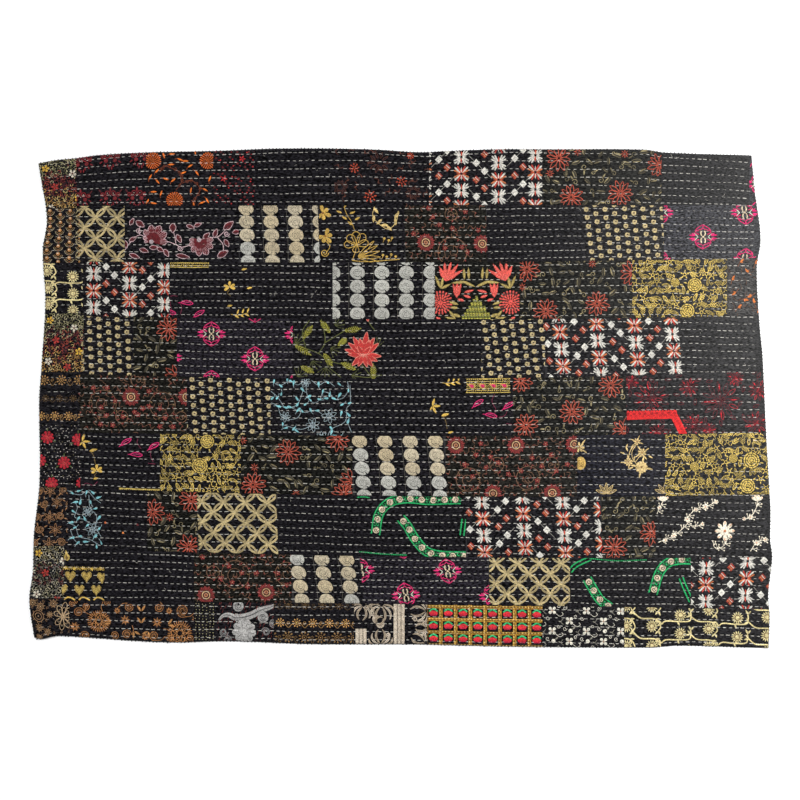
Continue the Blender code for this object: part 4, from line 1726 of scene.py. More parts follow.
def cream_flowers(patch):
    """Four-petalled flowers set far apart, with buds and fine curls between them."""
    cream, dull = (216, 211, 196), (136, 132, 120)
    for column in range(-1, 6):
        for row in range(-1, 5):
            x, y = 30 + 53.5 * column, 14 + 64 * row + (32 if column % 2 else 0)
            patch.petals(x, y, 4, blade(PETAL, 12.5, 10, 1.5, 0.9), cream, 45, 0.1)
            patch.stamp(oval(2.6, 2.6, 0.5, 7), x, y, (150, 110, 80), over=0.9)
            patch.line([(x + 12, y + 10), (x + 24, y + 18), (x + 34, y + 12), (x + 30, y + 5)], 1.5, cream)
            patch.curl(x - 14, y + 24, 7, 1.4, cream, 1.2, 40 * row)
            patch.curl(x + 20, y - 14, 6, 1.4, cream, 1.2, 70 * column)
            patch.line([(x - 20, y - 6), (x - 26, y + 4), (x - 18, y + 12)], 1.4, dull)
            patch.stamp(blade(LEAF, 9, 3.6, 0), x - 26, y + 4, dull, 200)
            if (row + column) % 2:
                patch.stamp(oval(6.4, 6.4, 0.9), x + 4, y + 31, cream, over=0.1)
                patch.stamp(blade(LEAF, 13, 5, 7), x + 4, y + 31, dull, -40)


def plain(patch):
    """Plain cloth, with a few loose ends of pale thread."""
    for _ in range(int(patch.width * patch.height / 5200)):
        x, y = patch.random.uniform(6, patch.width - 6), patch.random.uniform(6, patch.height - 6)
        turn, length = patch.random.uniform(0, 360), patch.random.uniform(1.5, 5)
        points = [(-length, 0), (0, length * 0.4), (length, 0)]
        patch.line(turned(points, turn, x, y), 0.9, (168, 164, 156), rise=0.4)


GROUNDS = {
    # name: colour, sRGB
    "black": (21, 20, 23),
    "charcoal": (29, 27, 32),
    # painted sheen: a lighter copy of the charcoal ground, for the patches at the right end where the
    # light's sheen falls
    "sheen_charcoal": (46, 46, 52),
    "olive_black": (19, 19, 17),
    "moss_black": (24, 23, 20),
    "blue_black": (21, 21, 29),
    "grey_brown": (52, 50, 50),
}

ZIGZAGS_1 = ((43.6, 26.5, 1), (160.6, 41.3, 0), (280.7, 28.5, 1))
WHITE_RED_1 = ((-15, -5, True), (101, 21, True), (217, 42, True), (332, 19, True))
ZIGZAGS_3 = ((86, 15.2, 0), (199, 25, 3))
WHITE_RED_3 = ((34, -15, False), (146, 13, False), (256, 25, True))
ZIGZAGS_4 = ((-3, -3, 1), (111, 8.7, 1), (226, 20, 0), (343, 10, 1))
WHITE_RED_4 = ((51, -12, True), (167, 16, False), (285, 24, False), (401, 0, False))
ZIGZAGS_7 = ((-1, 23, 1), (114.8, 40.7, 1), (238.6, 77, 0), (361, 38.4, 1))
WHITE_RED_7 = ((54, 16, True), (181, 0, True), (306, 16, True), (425, 40, False))
ZIGZAGS_8 = ((-14, 8, 0), (110, 4, 1), (234, 10, 0))
WHITE_RED_8 = ((47, -20, False), (172, 12, True))

BORDER = (
    # band, right side, lean, ground, name, design, what the design takes
    (1, 77, 0, "black", "dense", dense_specks, {}),
    (2, 80, 0, "black", "beads", scales_and_beads, {}),
    (3, 83, 0, "black", "gold_waves", gold_waves,
     {"columns": ((10, (25, 78, 129, 182), True), (88, (43, 96, 149), False))}),
    (4, 84, 0, "black", "dense", dense_specks, {}),
    (5, 80.5, 0, "black", "florets", florets,
     {
         "rows": (
             (25, 12, 56, 17, 1.05), (82, 20, 43, 12, 0.6), (137, 6, 43, 15, 1.2), (186, 20, 43, 12, 0.8)
         )
     }),
    (6, 80.5, 0, "black", "red_roses", red_roses, {}),
    (7, 68, 0, "black", "bronze_scroll", bronze_scroll, {}),
    (8, 64.5, 0, "black", "dense", dense_specks, {"colours": GREY_SPECKS}),
    (9, 70, 0, "black", "corner_circles", corner_circles, {}),
)

FIELD = (
    # band, left side, right side, lean, ground, name, design, what the design takes
    (1, 77, 146, 0, "black", "maroon_clusters", maroon_clusters,
     {"places": ((105, 14), (199, 14), (105, 132), (188, 132), (12, 135), (17, 18))}),
    (1, 146, 213.5, 0, "black", "orange_floral", orange_floral, {}),
    (1, 213.5, 255, 0, "black", "red_dots", red_dots, {}),
    (1, 255, 334, 0, "black", "plain", plain, {}),
    (1, 334, 429, 0, "black", "rust_flowers", rust_flowers, {}),
    (1, 429, 542.5, 0, "black", "white_red", white_red, {"columns": WHITE_RED_1, "zigzags": ZIGZAGS_1}),
    (1, 542.5, 661.5, 0, "olive_black", "lotus", lotus,
     {
         "flowers": ((51, 28), (89, 150), (243, 138), (365, 45)),
         "starlets": ((23, 76), (257, 15), (110, 8)),
     }),
    (1, 661.5, 749, 0, "black", "plain", plain, {}),
    # painted sheen: this patch's ground is the lighter copy of charcoal
    (1, 749, None, 0, "sheen_charcoal", "pink_edge", pink_edge, {}),
    (2, 78.3, 125, 0, "black", "lattice", lattice, {"start_x": 20, "start_y": 4.5}),
    (2, 125, 239, 0, "black", "maroon_branch", maroon_branch, {}),
    (2, 239, 319, 2.4, "black", "roundels", roundels,
     {
         "start_x": 25.6, "start_y": 9.5, "pitch_x": 76.5, "pitch_y": 41.5,
         "silver": ((0, 100, 250), (3, 100, 250)),
     }),
    (2, 319, 404.7, 0, "black", "gold_sprigs", gold_sprigs, {}),
    (2, 404.7, 486.8, 2, "moss_black", "mandala", mandala,
     {"flowers": ((65, 116), (241, 121)), "circles": ((147, 28, 19), (147, 146, 45)),
      "blossoms": ((77, 9), (192, 21), (90, 36), (109, 61), (149, 72), (177, 131), (124, 134), (194, 146),
                   (230, 78), (27, 89))}),
    (2, 486.8, 583.8, 0, "black", "plain", plain, {}),
    (2, 583.8, 663.5, 2, "black", "dots", dots, {"start_x": 10, "start_y": 12}),
    # painted sheen: this patch's ground is the lighter copy of charcoal
    (2, 663.5, None, 0, "sheen_charcoal", "medallions", medallions, {"x": 123, "y": 98.5}),
    (3, 83, 169.8, 0, "black", "white_red", white_red, {"columns": WHITE_RED_3, "zigzags": ZIGZAGS_3}),
    (3, 169.8, 253, 0, "black", "sprigged", sprigged,
     {"strip": (0, 122, 0, 15), "pinks": ((53, 126, 14), (90, 160, -22), (0, 156, 20)),
      "golds": ((233, 21, 4), (187, 77, 2), (250, 79, 4), (188, 135, 4), (222, 158, 3)),
      "stems": (
          ((0, 108), (12, 105), (24, 107)), ((32, 128), (38, 140), (34, 162)),
          ((0, 118), (4, 140), (10, 172)),
      )}),
    (3, 253, 332.5, 0, "black", "plain", plain, {}),
    (3, 332.5, 435, 0, "black", "roundels", roundels,
     {"start_x": 1.5, "start_y": -11, "pitch_x": 76.5, "pitch_y": 43, "all_silver": True}),
    (3, 435, 519.5, 0, "olive_black", "salmon_bouquet", salmon_bouquet, {}),
    (3, 519.5, 632, 0, "olive_black", "lotus", lotus,
     {"flowers": ((23, 25), (82, 157), (242, 134), (352, 40)), "starlets": ((227, 9), (8, 80))}),
    (3, 632, 727, 0, "black", "gold_floral", gold_floral,
     {"rosettes": ((195, 81, 23), (172, 161, 23)), "mediums": ((134, 72),)}),
    (3, 727, None, 0, "grey_brown", "autumn_leaves", autumn_leaves, {}),
    (4, 84, 133.5, 0, "black", "dots", dots, {"start_x": 17, "start_y": 22, "drift": 1.2}),
    (4, 133.5, 177, 0, "olive_black", "lotus", lotus, {"flowers": ((110, 33), (136, 183))}),
    (4, 177, 293, 0, "charcoal", "medallions", medallions, {"x": 108, "y": 50}),
    (4, 293, 384, 0, "black", "rose", rose, {}),
    (4, 384, 481, 0, "black", "plain", plain, {}),
    (4, 481, 545, 0, "black", "dots", dots, {"start_x": 8, "start_y": 9, "drift": 3.8}),
    (4, 545, 680, 5.4, "black", "white_red", white_red, {"columns": WHITE_RED_4, "zigzags": ZIGZAGS_4}),
    (4, 680, None, 0, "black", "plain", plain, {}),
    (5, 80, 187, 0, "moss_black", "mandala", mandala,
     {"flowers": ((160, 67), (334, 63)),
      "circles": ((72, 90, 42), (258, 90, 40), (131, 129, 19), (317, 127, 17), (182, 14, 22)),
      "blossoms": ((67, 101), (250, 101), (42, 42), (86, 40), (110, 80), (82, 127), (65, 154), (103, 156),
                   (135, 129), (216, 48), (266, 131), (250, 158), (292, 158), (216, 95), (197, 103),
                   (171, 114),
                   (182, 122))}),
    (5, 187, 270.7, 0, "black", "dots", dots, {"start_x": 14}),
    (5, 270.7, 352, 0, "black", "turquoise", turquoise, {}),
    (5, 352, 410, 0, "black", "plain", plain, {}),
    (5, 410, 513, 0, "black", "sprigged", sprigged,
     {"strip": (175, 314, 0, 44), "pinks": ((211, 77, -26), (252, 114, 22), (306, 85, -22)),
      "golds": ((70, 86, 0), (110, 113, 1), (127, 168, 4), (130, 9, 3)),
      "stems": (
          ((264, 50), (256, 72), (268, 98), (262, 112)), ((276, 122), (296, 116), (306, 96)),
          ((300, 141), (318, 144)),
      )}),
    (5, 513, 626, 0, "olive_black", "lotus", lotus,
     {"flowers": ((183, 110), (39, 150), (24, 10), (305, 29), (347, 170))}),
    (5, 626, None, 0, "black", "crimson", crimson, {}),
    (6, 80.5, 160, 0, "black", "sprigged", sprigged,
     {"strip": (121, 250, 172, 180), "pinks": ((141, 27, -22), (228, 38, -22), (174, 65, 14)),
      "golds": ((6, 29, 0), (41, 55, 1), (51, 118, 2), (49, 144, 4)),
      "stems": (((180, 16), (178, 30), (190, 48)), ((221, 48), (220, 70), (228, 88)), (
          (212, 92), (234, 94)
      ),
                ((8, 168), (20, 160), (40, 166), (54, 154)))}),
    (6, 160, 241, 0, "black", "gold_floral", gold_floral, {"rosettes": ((125, 98, 25), (148, 22, 22))}),
    (6, 241, 352.5, 0, "olive_black", "lotus", lotus,
     {"flowers": ((148, 52), (38, 157), (303, 10), (349, 140), (322, 181)),
      "starlets": ((42, 102), (172, 183), (6, 18))}),
    (6, 352.5, 445.6, 5.4, "black", "roundels", roundels,
     {"start_x": 29, "start_y": 17, "pitch_x": 79, "pitch_y": 43,
      "silver": ((0, 40, 250), (1, 110, 250), (2, 110, 250), (3, 110, 250))}),
    (6, 445.6, 577, 0, "moss_black", "mandala", mandala,
     {"flowers": ((32, 30), (220, 30), (402, 28), (148, 181), (333, 179)),
      "circles": ((70, 137, 37), (258, 133, 37), (160, 90, 22), (330, 92, 24)),
      "blossoms": ((96, 60), (140, 66), (126, 100), (164, 84), (84, 128), (196, 120), (236, 110), (270, 70),
                   (300, 96), (330, 60), (346, 110), (286, 140), (60, 90), (110, 24), (312, 26), (
                       380, 90
                   ))}),
    (6, 577, 665, 0, "blue_black", "gold_clusters", gold_clusters, {}),
    (6, 665, None, 0, "black", "gold_floral", gold_floral,
     {"rosettes": ((270, 86, 26), (254, 166, 24)), "mediums": ((213, 79), (91, 102))}),
    (7, 68, 103, 0, "black", "turquoise", turquoise,
     {"vines": (((6, 16), (40, 20), (62, 8), (84, 30), (104, 44)), ((20, 40), (30, 60), (22, 90), (50, 96)),
                ((66, 20), (70, 60), (90, 84), (88, 120), (104, 148)),
                ((4, 110), (24, 120), (36, 150), (70, 158)),
                ((50, 96), (76, 110), (96, 104)), ((8, 130), (20, 160), (40, 176)), (
                    (70, 158), (100, 176)
                )),
      "leaves": ((12, 14), (36, 8), (58, 14), (76, 10), (98, 26), (22, 44), (40, 40), (72, 44), (84, 62), (
          20, 74
      ),
                 (32, 96), (52, 92), (8, 108), (96, 92), (24, 122), (60, 116), (100, 122), (36, 150),
                 (12, 156),
                 (58, 166), (84, 150), (104, 166), (90, 178), (30, 172)),
      "flowers": ((78, 128, 22), (62, 72, 16))}),
    (7, 103, 147.4, 0, "black", "orange_spots", orange_spots, {}),
    (7, 147.4, 197.7, 0, "olive_black", "lotus", lotus,
     {"flowers": ((17, 66), (138, 24), (130, 172)), "starlets": ((70, 81),)}),
    (7, 197.7, 277.4, 2.4, "black", "lattice", lattice, {"start_x": 15, "start_y": 29}),
    (7, 277.4, 357, 0, "black", "plain", plain, {}),
    (7, 357, 466, 0, "black", "green_arcs", green_arcs, {"arcs": ARCS_UPPER, "thin": UPPER_THIN_ARCS}),
    (7, 466, 601.5, 3.6, "black", "white_red", white_red, {"columns": WHITE_RED_7, "zigzags": ZIGZAGS_7}),
    (7, 601.5, 655.5, 0, "olive_black", "lotus", lotus, {"flowers": ((40, 160), (157, 115))}),
    (7, 655.5, None, 0, "black", "cream_branches", cream_branches, {}),
    (8, 64.5, 105, 0, "black", "hearts", hearts, {}),
    (8, 105, 194, 0, "black", "plain", plain, {}),
    (8, 194, 292, 0, "moss_black", "mandala", mandala,
     {"flowers": ((38, 131), (226, 120)), "circles": ((130, 66, 44), (290, 60, 36), (60, 60, 20)),
      "blossoms": ((27, 14), (215, 3), (110, 40), (150, 60), (120, 90), (168, 104), (262, 60), (290, 96),
                   (84, 78), (196, 60))}),
    (8, 292, 361.6, 6, "black", "roundels", roundels,
     {"start_x": 23, "start_y": 12, "pitch_x": 78, "pitch_y": 43, "silver": ((0, 0, 30), (2, 110, 250))}),
    (8, 361.6, 489, 3.6, "charcoal", "medallions", medallions, {"x": 135, "y": 120, "tilt": -5}),
    (8, 489, 570, 0, "black", "lattice", lattice, {"start_x": 21, "start_y": 18}),
    (8, 570, 690.6, 0, "black", "green_arcs", green_arcs, {"arcs": ARCS_LOWER, "thin": LOWER_THIN_ARCS}),
    (8, 690.6, None, 0, "black", "white_red", white_red, {"columns": WHITE_RED_8, "zigzags": ZIGZAGS_8}),
    (9, 70, 194, 0, "black", "bronze_suns", bronze_suns, {}),
    (9, 194, 274, 0, "black", "silver_flower", silver_flower, {}),
    (9, 274, 354, 0, "black", "florets", florets,
     {"rows": ((7, 45, 53, 14, 0.6), (63, 20, 51, 15, 1.3), (108, 44, 51, 19, 0.85))}),
    (9, 354, 427.4, 0, "black", "satin_scroll", satin_scroll, {}),
    (9, 427.4, 542.5, 0, "black", "strawberries", strawberries, {}),
    (9, 542.5, 624, 0, "black", "cream_flowers", cream_flowers, {}),
    (9, 624, None, 0, "black", "gold_waves", gold_waves,
     {"columns": ((7, (-4, 55, 114), True), (87, (-3, 55, 114), True), (175.5, (23, 80, 137), False), (
         264, (5, 64, 121), True
     ),
                  (353.6, (28, 87, 145), False), (446, (25, 80, 130), True))}),
)


# Materials


class Nodes:
    """Makes and links the nodes of one material."""

    def __init__(self, name):
        self.material = bpy.data.materials.new(name)
        self.material.use_nodes = True
        self.tree = self.material.node_tree
        self.shader = self.tree.nodes["Principled BSDF"]

    def make(self, kind, **values):
        node = self.tree.nodes.new(kind)
        for name, value in values.items():
            setattr(node, name, value)
        return node

    def link(self, start, end):
        self.tree.links.new(start, end)

    def set(self, **values):
        for name, value in values.items():
            self.shader.inputs[name.replace("_", " ")].default_value = value

    def mix_colours(self, factor, first, second, blend="MIX"):
        node = self.make("ShaderNodeMix", data_type="RGBA", blend_type=blend)
        for place, value in ((0, factor), (6, first), (7, second)):
            if isinstance(value, (int, float, tuple)):
                node.inputs[place].default_value = value
            else:
                self.link(value, node.inputs[place])
        return node.outputs[2]

    def maths(self, operation, *values):
        node = self.make("ShaderNodeMath", operation=operation)
        for place, value in enumerate(values):
            if isinstance(value, (int, float)):
                node.inputs[place].default_value = value
            else:
                self.link(value, node.inputs[place])
        return node.outputs[0]

    def noise(self, scale, detail=2.0, stretch=(1.0, 1.0, 1.0)):
        place = self.make("ShaderNodeTexCoord").outputs["Object"]
        mapping = self.make("ShaderNodeMapping")
        mapping.inputs["Scale"].default_value = stretch
        self.link(place, mapping.inputs["Vector"])
        noise = self.make("ShaderNodeTexNoise")
        noise.inputs["Scale"].default_value = scale
        noise.inputs["Detail"].default_value = detail
        self.link(mapping.outputs["Vector"], noise.inputs["Vector"])
        return noise.outputs["Fac"]

    def bump(self, height, strength, distance):
        node = self.make("ShaderNodeBump")
        node.inputs["Strength"].default_value = strength
        node.inputs["Distance"].default_value = distance
        self.link(height, node.inputs["Height"])
        self.link(node.outputs["Normal"], self.shader.inputs["Normal"])

    def ramp(self, factor, *stops):
        node = self.make("ShaderNodeValToRGB")
        while len(node.color_ramp.elements) < len(stops):
            node.color_ramp.elements.new(0.5)
        for element, (position, colour) in zip(node.color_ramp.elements, stops):
            element.position = position
            element.color = colour
        self.link(factor, node.inputs["Fac"])
        return node.outputs["Color"]


def with_alpha(colour, shade=1.0):
    return (*[float(c) * shade for c in linear(colour)], 1.0)


# Painted sheen: the silk's colour is greyed from one place across the quilt to another, in metres, towards a
# grey, where the light's sheen falls
SHEEN_FROM, SHEEN_TO = 0.05, 1.2
SHEEN_GREY = (84, 84, 83)


def cloth_material(name, colour):
    """Fine worn silk: slubs along the weave, a faint crosswise thread, and a painted sheen that greys it
    towards the right end, more towards the top.
    """
    nodes = Nodes(name)
    slubs = nodes.noise(270, 4, (0.5, 1.0, 1.0))
    threads = nodes.noise(900, 1, (1.0, 0.2, 1.0))
    wear = nodes.noise(14, 4)
    base = nodes.ramp(slubs, (0.42, with_alpha(colour, 0.05)), (0.6, with_alpha(colour, 2.3)))
    parts = nodes.make("ShaderNodeSeparateXYZ")
    nodes.link(nodes.make("ShaderNodeTexCoord").outputs["Object"], parts.inputs["Vector"])
    # painted sheen: the colour greys towards the right end, more towards the top and unevenly with the
    # slubs, as the light's sheen does there
    along = nodes.maths(
        "MULTIPLY_ADD", parts.outputs["X"], 1 / (SHEEN_TO - SHEEN_FROM), -SHEEN_FROM / (SHEEN_TO - SHEEN_FROM)
    )
    painted_sheen = nodes.maths("POWER", nodes.maths("MINIMUM", nodes.maths("MAXIMUM", along, 0.0), 1.0), 1.9)
    uneven = nodes.maths("MULTIPLY_ADD", slubs, 2.8, -0.6)
    upwards = nodes.maths("MINIMUM", nodes.maths("MULTIPLY_ADD", parts.outputs["Y"], 0.42, 0.5), 0.62)
    painted_sheen = nodes.maths("MULTIPLY", painted_sheen, nodes.maths("MULTIPLY", uneven, upwards))
    base = nodes.mix_colours(painted_sheen, base, with_alpha(SHEEN_GREY))
    nodes.link(base, nodes.shader.inputs["Base Color"])
    nodes.link(nodes.maths("MULTIPLY_ADD", wear, 0.24, 0.4), nodes.shader.inputs["Roughness"])
    nodes.bump(nodes.maths("ADD", slubs, threads), 0.7, 0.0016)
    nodes.set(Sheen_Weight=0.002, Sheen_Roughness=0.4, Specular_IOR_Level=0.02)
    return nodes.material


def thread_material():
    """Embroidery thread: colour, ridges and shine come from the mesh, thread by thread, with painted shade
    in the furrows between threads.
    """
    nodes = Nodes("embroidery_thread")
    colour = nodes.make("ShaderNodeAttribute", attribute_name="thread_colour").outputs["Vector"]
    run = nodes.make("ShaderNodeAttribute", attribute_name="thread_run")
    parts = nodes.make("ShaderNodeSeparateXYZ")
    nodes.link(run.outputs["Vector"], parts.inputs["Vector"])
    wave = nodes.maths("SINE", nodes.maths("MULTIPLY", parts.outputs["X"], 2 * math.pi))
    ridge = nodes.maths("MULTIPLY_ADD", wave, 0.5, 0.5)
    # painted shade: the colour darkens in the furrows between threads, on top of the bump
    furrow_shade = nodes.maths("MULTIPLY_ADD", ridge, 0.3, 0.78)
    fuzz = nodes.maths("MULTIPLY_ADD", nodes.noise(300, 4), 2.7, -0.38)
    shade = nodes.maths("MULTIPLY", furrow_shade, fuzz)
    dimmed = nodes.make("ShaderNodeVectorMath", operation="SCALE")
    nodes.link(colour, dimmed.inputs[0])
    nodes.link(shade, dimmed.inputs["Scale"])
    nodes.link(dimmed.outputs["Vector"], nodes.shader.inputs["Base Color"])
    nodes.link(nodes.maths("MULTIPLY", parts.outputs["Z"], 0.55), nodes.shader.inputs["Metallic"])
    nodes.link(
        nodes.maths("MULTIPLY_ADD", parts.outputs["Z"], -0.2, 0.58), nodes.shader.inputs["Roughness"]
    )
    nodes.bump(ridge, 0.5, 0.0005)
    nodes.set(Sheen_Weight=0.03, Sheen_Roughness=0.5, Specular_IOR_Level=0.2)
    return nodes.material


def backing_material():
    """The plain dark cotton of the underside."""
    nodes = Nodes("backing_cotton")
    weave = nodes.noise(800, 2)
    base = nodes.ramp(weave, (0.3, with_alpha((22, 21, 23))), (0.7, with_alpha((36, 34, 37))))
    nodes.link(base, nodes.shader.inputs["Base Color"])
    nodes.bump(weave, 0.3, 0.0004)
    nodes.set(Roughness=0.85, Sheen_Weight=0.2, Sheen_Roughness=0.5, Specular_IOR_Level=0.3)
    return nodes.material


# Making the pieces


def new_piece(name, places, faces, material, data=None):
    """A mesh that rides on the quilt's body, with the thread's data on its vertices."""
    shift = np.array([*centre_of_outline(), 0.0])
    mesh = bpy.data.meshes.new(name)
    mesh.from_pydata((places - shift).tolist(), [], faces.tolist())
    if data is not None:
        for attribute, columns in (("thread_colour", slice(0, 3)), ("thread_run", slice(3, 6))):
            layer = mesh.attributes.new(attribute, "FLOAT_VECTOR", "POINT")
            layer.data.foreach_set("vector", data[:, columns].astype(np.float32).ravel())
    mesh.shade_smooth()
    mesh.materials.append(material)
    piece = bpy.data.objects.new(name, mesh)
    bpy.context.scene.collection.objects.link(piece)
    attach(piece, "root")
    return piece


def joined(parts):
    """Several (places, faces, ...) as one."""
    start, faces = 0, []
    for part in parts:
        faces.append(part[1] + start)
        start += len(part[0])
    rest = [np.vstack([part[i] for part in parts]) for i in range(2, len(parts[0]))]
    return (np.vstack([part[0] for part in parts]), np.vstack(faces), *rest)


def lay_patches():
    """All patches, gathered into one cloth for each ground and one piece of thread for each design."""
    rows = [(band, None, right, lean, *rest) for band, right, lean, *rest in BORDER]
    rows += list(FIELD)
    cloths, threads = {}, {}
    for number, (band, left, right, lean, ground, name, design, values) in enumerate(rows):
        patch = Patch(band, left, right, lean, number)
        cloths.setdefault(ground, []).append(patch.lay_cloth())
        design(patch, **values)
        if patch.places:
            threads.setdefault(name, []).append(patch.sewn())
    pieces = []
    for ground, parts in cloths.items():
        places, faces = joined(parts)
        material = cloth_material("silk_" + ground, GROUNDS[ground])
        pieces.append(new_piece("cloth_" + ground, places, faces, material))
    material = thread_material()
    for name, parts in threads.items():
        places, faces, data = joined(parts)
        pieces.append(new_piece("thread_" + name, places, faces, material, data))
    return pieces


BODY_COLUMNS = 64
BODY_DEPTH = 0.0014


def quilt_body():
    """The layers under the patches, closed all round and flat underneath."""
    bands = [0.0]
    for band, rows in enumerate(STITCH_ROWS):
        bands += [band + half / (2 * rows) for half in range(1, 2 * rows + 1)]
    bands = np.array(bands)
    share, band = np.meshgrid(np.linspace(0.0006, 0.9994, BODY_COLUMNS + 1), bands)
    share, band = share.ravel(), band.ravel()
    at = np.minimum(band.astype(int), len(SEAMS))
    across = (2 * share - 1) * 1.12
    for _ in range(4):
        heights = np.stack([on_curve(line, across) for line in BAND_CURVES])
        upper = np.take_along_axis(heights, at[None], 0)[0]
        lower = np.take_along_axis(heights, at[None] + 1, 0)[0]
        up = (upper + (lower - upper) * (band - at)) * 0.9988
        left, right = on_curve(LEFT_CURVE, up), on_curve(RIGHT_CURVE, up)
        across = left + (right - left) * share
    height = np.maximum(relief(across, up) - BODY_DEPTH, 0.0007)
    places = np.column_stack((across, up, height))
    rows, columns = len(bands), BODY_COLUMNS + 1
    corner = (np.arange(rows - 1)[:, None] * columns + np.arange(columns - 1)).ravel()
    face = np.column_stack((corner, corner + columns, corner + columns + 1, corner + 1))
    under = places.copy()
    under[:, 2] = 0.0
    count = len(places)
    faces = [face, face[:, ::-1] + count]
    rim = np.concatenate((
        np.arange(columns),
        np.arange(2, rows + 1) * columns - 1,
        np.arange(rows * columns - 2, (rows - 1) * columns - 1, -1),
        np.arange((rows - 2) * columns, -1, -columns),
    ))
    following = np.roll(rim, -1)
    ring = np.column_stack((rim, following, following + count, rim + count))
    faces.append(ring[rim != following])
    piece = new_piece("quilt_layers", np.vstack((places, under)), np.vstack(faces), backing_material())
    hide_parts("quilt")
    return piece


STITCH_PITCH = 0.0185
STITCH_LENGTH = 0.0125
STITCH_HALF_WIDTH = 0.00085
STITCH_COLOUR = (208, 204, 196)


def arches(starts, ends, heights, half_width, colour, random):
    """Low arches of thread: from starts to ends, with the heights of their stations."""
    stations = np.array([0, *np.linspace(0.13, 0.87, len(heights) - 2), 1])
    count, per = len(starts), len(heights)
    along = ends - starts
    aside = np.column_stack((-along[:, 1], along[:, 0]))
    aside /= np.hypot(aside[:, 0], aside[:, 1])[:, None]
    middle = starts[:, None] + along[:, None] * stations[None, :, None]
    floor = relief(middle[..., 0].ravel(), middle[..., 1].ravel()).reshape(count, per)
    ends_narrower = np.array([0.7] + [1.0] * (per - 2) + [0.7])[:, None]
    width = half_width * random.uniform(0.8, 1.2, (count, 1, 1)) * ends_narrower
    places = np.zeros((count, 3, per, 3))
    for row, (side, lift) in enumerate(((-1, -0.0009), (0, 0.0), (1, -0.0009))):
        places[:, row, :, :2] = middle + aside[:, None] * width * side
        places[:, row, :, 2] = floor + np.array(heights) + lift
    base = []
    for row in range(2):
        for i in range(per - 1):
            a, b = row * per + i, row * per + i + 1
            c, d = a + per, b + per
            base += [(a, b, d), (a, d, c)]
    faces = (np.arange(count)[:, None, None] * 3 * per + np.array(base)[None]).reshape(-1, 3)
    data = np.zeros((count, 3, per, 6))
    data[..., :3] = linear(colour) * random.uniform(0.62, 1.12, (count, 1, 1, 1))
    length = np.hypot(along[:, 0], along[:, 1]) * 1000
    data[..., 3] = length[:, None, None] * stations / 2.0 + np.array([-0.3, 0, 0.3])[None, :, None]
    return places.reshape(-1, 3), faces, data.reshape(-1, 6)


def running_stitches():
    """Rows of running stitch in the troughs of the face."""
    random = np.random.default_rng(SEED + 500)
    starts, ends = [], []
    for band, rows in enumerate(STITCH_ROWS):
        for row in range(rows):
            drop = (row + 0.5) / rows
            place = -1.2 + random.uniform(0, STITCH_PITCH)
            while place < 1.18:
                length = STITCH_LENGTH * random.uniform(0.78, 1.22)
                for end, across in ((starts, place), (ends, place + length)):
                    upper, lower = (on_curve(BAND_CURVES[band + i], across) for i in range(2))
                    up = upper + (lower - upper) * drop
                    up = up - waver(across, up) + random.normal(0, 0.00035)
                    end.append((across, up))
                place += STITCH_PITCH * random.uniform(0.88, 1.12)
    starts, ends = np.array(starts), np.array(ends)
    left, right = on_curve(LEFT_CURVE, starts[:, 1]), on_curve(RIGHT_CURVE, ends[:, 1])
    kept = (starts[:, 0] > left + 0.011) & (ends[:, 0] < right - 0.011)
    starts, ends = starts[kept], ends[kept]
    heights = (-0.0004, 0.0011, 0.0015, 0.0011, -0.0004)
    pieces = []
    material = bpy.data.materials["embroidery_thread"]
    for name, part in (("upper", starts[:, 1] >= 0.07), ("lower", starts[:, 1] < 0.07)):
        mesh = arches(starts[part], ends[part], heights, STITCH_HALF_WIDTH, STITCH_COLOUR, random)
        pieces.append(new_piece("running_stitches_" + name, mesh[0], mesh[1], material, mesh[2]))
    return pieces


def overcast_edge():
    """Slanting stitches over the rim, all the way round."""
    random = np.random.default_rng(SEED + 600)
    across, up = np.arange(-1.125, 1.09, 0.011), np.arange(-0.735, 0.725, 0.011)
    sides = (
        (across, on_curve(BAND_CURVES[0], across), (0.7, -1.0)),
        (across - 0.012, on_curve(BAND_CURVES[-1], across), (0.7, 1.0)),
        (on_curve(LEFT_CURVE, up), up, (1.0, 0.7)),
        (on_curve(RIGHT_CURVE, up), up, (-1.0, 0.7)),
    )
    starts, ends = [], []
    for x, y, inward in sides:
        outer = np.column_stack((x, y)) + random.normal(0, 0.0006, (len(x), 2))
        reach = random.uniform(0.007, 0.0105, (len(x), 1))
        starts.append(outer - np.array(inward) * 0.0016)
        ends.append(outer + np.array(inward) * reach)
    heights = (-0.0022, -0.0004, 0.0010, -0.0004)
    mesh = arches(np.vstack(starts), np.vstack(ends), heights, 0.0015, (34, 33, 35), random)
    return new_piece("overcast_edge", mesh[0], mesh[1], bpy.data.materials["embroidery_thread"], mesh[2])


# Camera, light and floor

CAMERA_HEIGHT = 6.0
VIEW_WIDTH = 2.5
LENS = 36.0 * CAMERA_HEIGHT / VIEW_WIDTH
CAMERA_PLACE = (-0.0023, -0.00625)


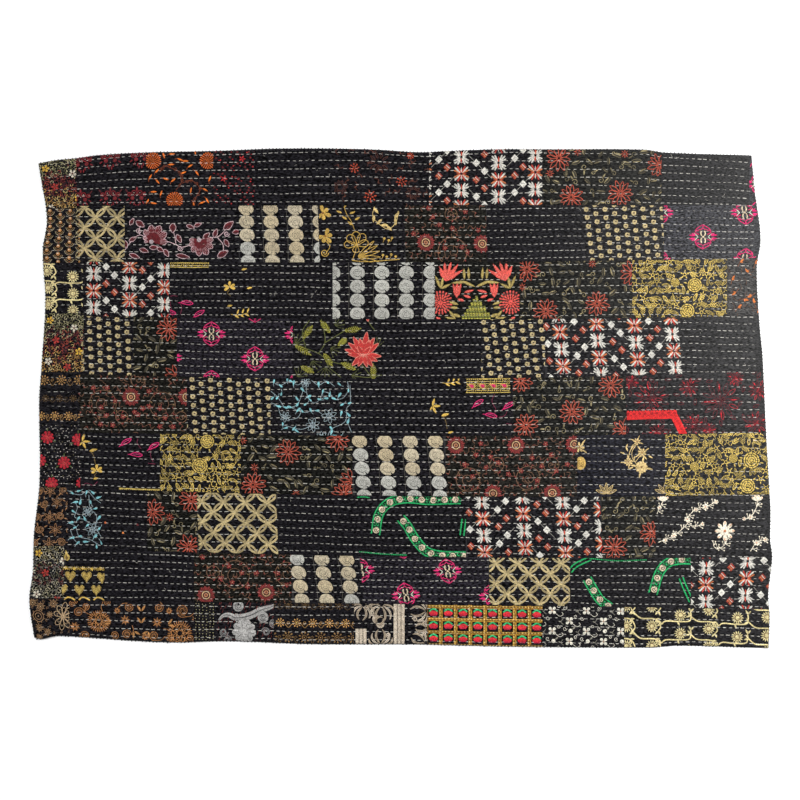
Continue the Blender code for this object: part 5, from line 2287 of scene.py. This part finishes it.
def make_camera():
    data = bpy.data.cameras.new("camera")
    data.lens = LENS
    data.sensor_width = 36.0
    camera = bpy.data.objects.new("camera", data)
    camera.location = (*CAMERA_PLACE, CAMERA_HEIGHT)
    bpy.context.scene.collection.objects.link(camera)
    bpy.context.scene.camera = camera


def add_light(data, place):
    """Puts a light at a place, shining at the quilt's middle."""
    light = bpy.data.objects.new(data.name, data)
    light.location = place
    light.rotation_euler = Vector(place).to_track_quat("Z", "Y").to_euler()
    bpy.context.scene.collection.objects.link(light)


def make_lights():
    world = bpy.data.worlds.new("studio")
    world.use_nodes = True
    tree = world.node_tree
    place = tree.nodes.new("ShaderNodeTexCoord")
    parts = tree.nodes.new("ShaderNodeSeparateXYZ")
    ramp = tree.nodes.new("ShaderNodeValToRGB")
    tree.links.new(place.outputs["Generated"], parts.inputs["Vector"])
    tree.links.new(parts.outputs["Z"], ramp.inputs["Fac"])
    tree.links.new(ramp.outputs["Color"], tree.nodes["Background"].inputs["Color"])
    for element, (height, light) in zip(ramp.color_ramp.elements, ((0.25, 0.9), (0.8, 0.1))):
        element.position = height
        element.color = (light, light, light, 1.0)
    bpy.context.scene.world = world
    key = bpy.data.lights.new("key", "SUN")
    key.energy = 3.4
    key.angle = math.radians(24)
    add_light(key, (-1.4, 2.6, 2.6))
    side = bpy.data.lights.new("side", "AREA")
    side.size = 1.5
    side.energy = 42.0
    add_light(side, (2.2, 0.4, 1.5))


def make_floor():
    mesh = bpy.data.meshes.new("floor")
    reach = 9.0
    mesh.from_pydata(
        [
            (-reach, -reach, -0.0003), (reach, -reach, -0.0003), (reach, reach, -0.0003),
            (-reach, reach, -0.0003),
        ],
        [], [(0, 1, 2, 3)],
    )
    nodes = Nodes("floor_paint")
    nodes.set(Base_Color=(0.93, 0.93, 0.93, 1.0), Roughness=0.9)
    mesh.materials.append(nodes.material)
    floor = bpy.data.objects.new("floor", mesh)
    bpy.context.scene.collection.objects.link(floor)


make_camera()
make_lights()
make_floor()
bpy.context.scene.view_settings.view_transform = "Standard"
pieces = lay_patches()
pieces += running_stitches()
pieces.append(overcast_edge())
body = quilt_body()
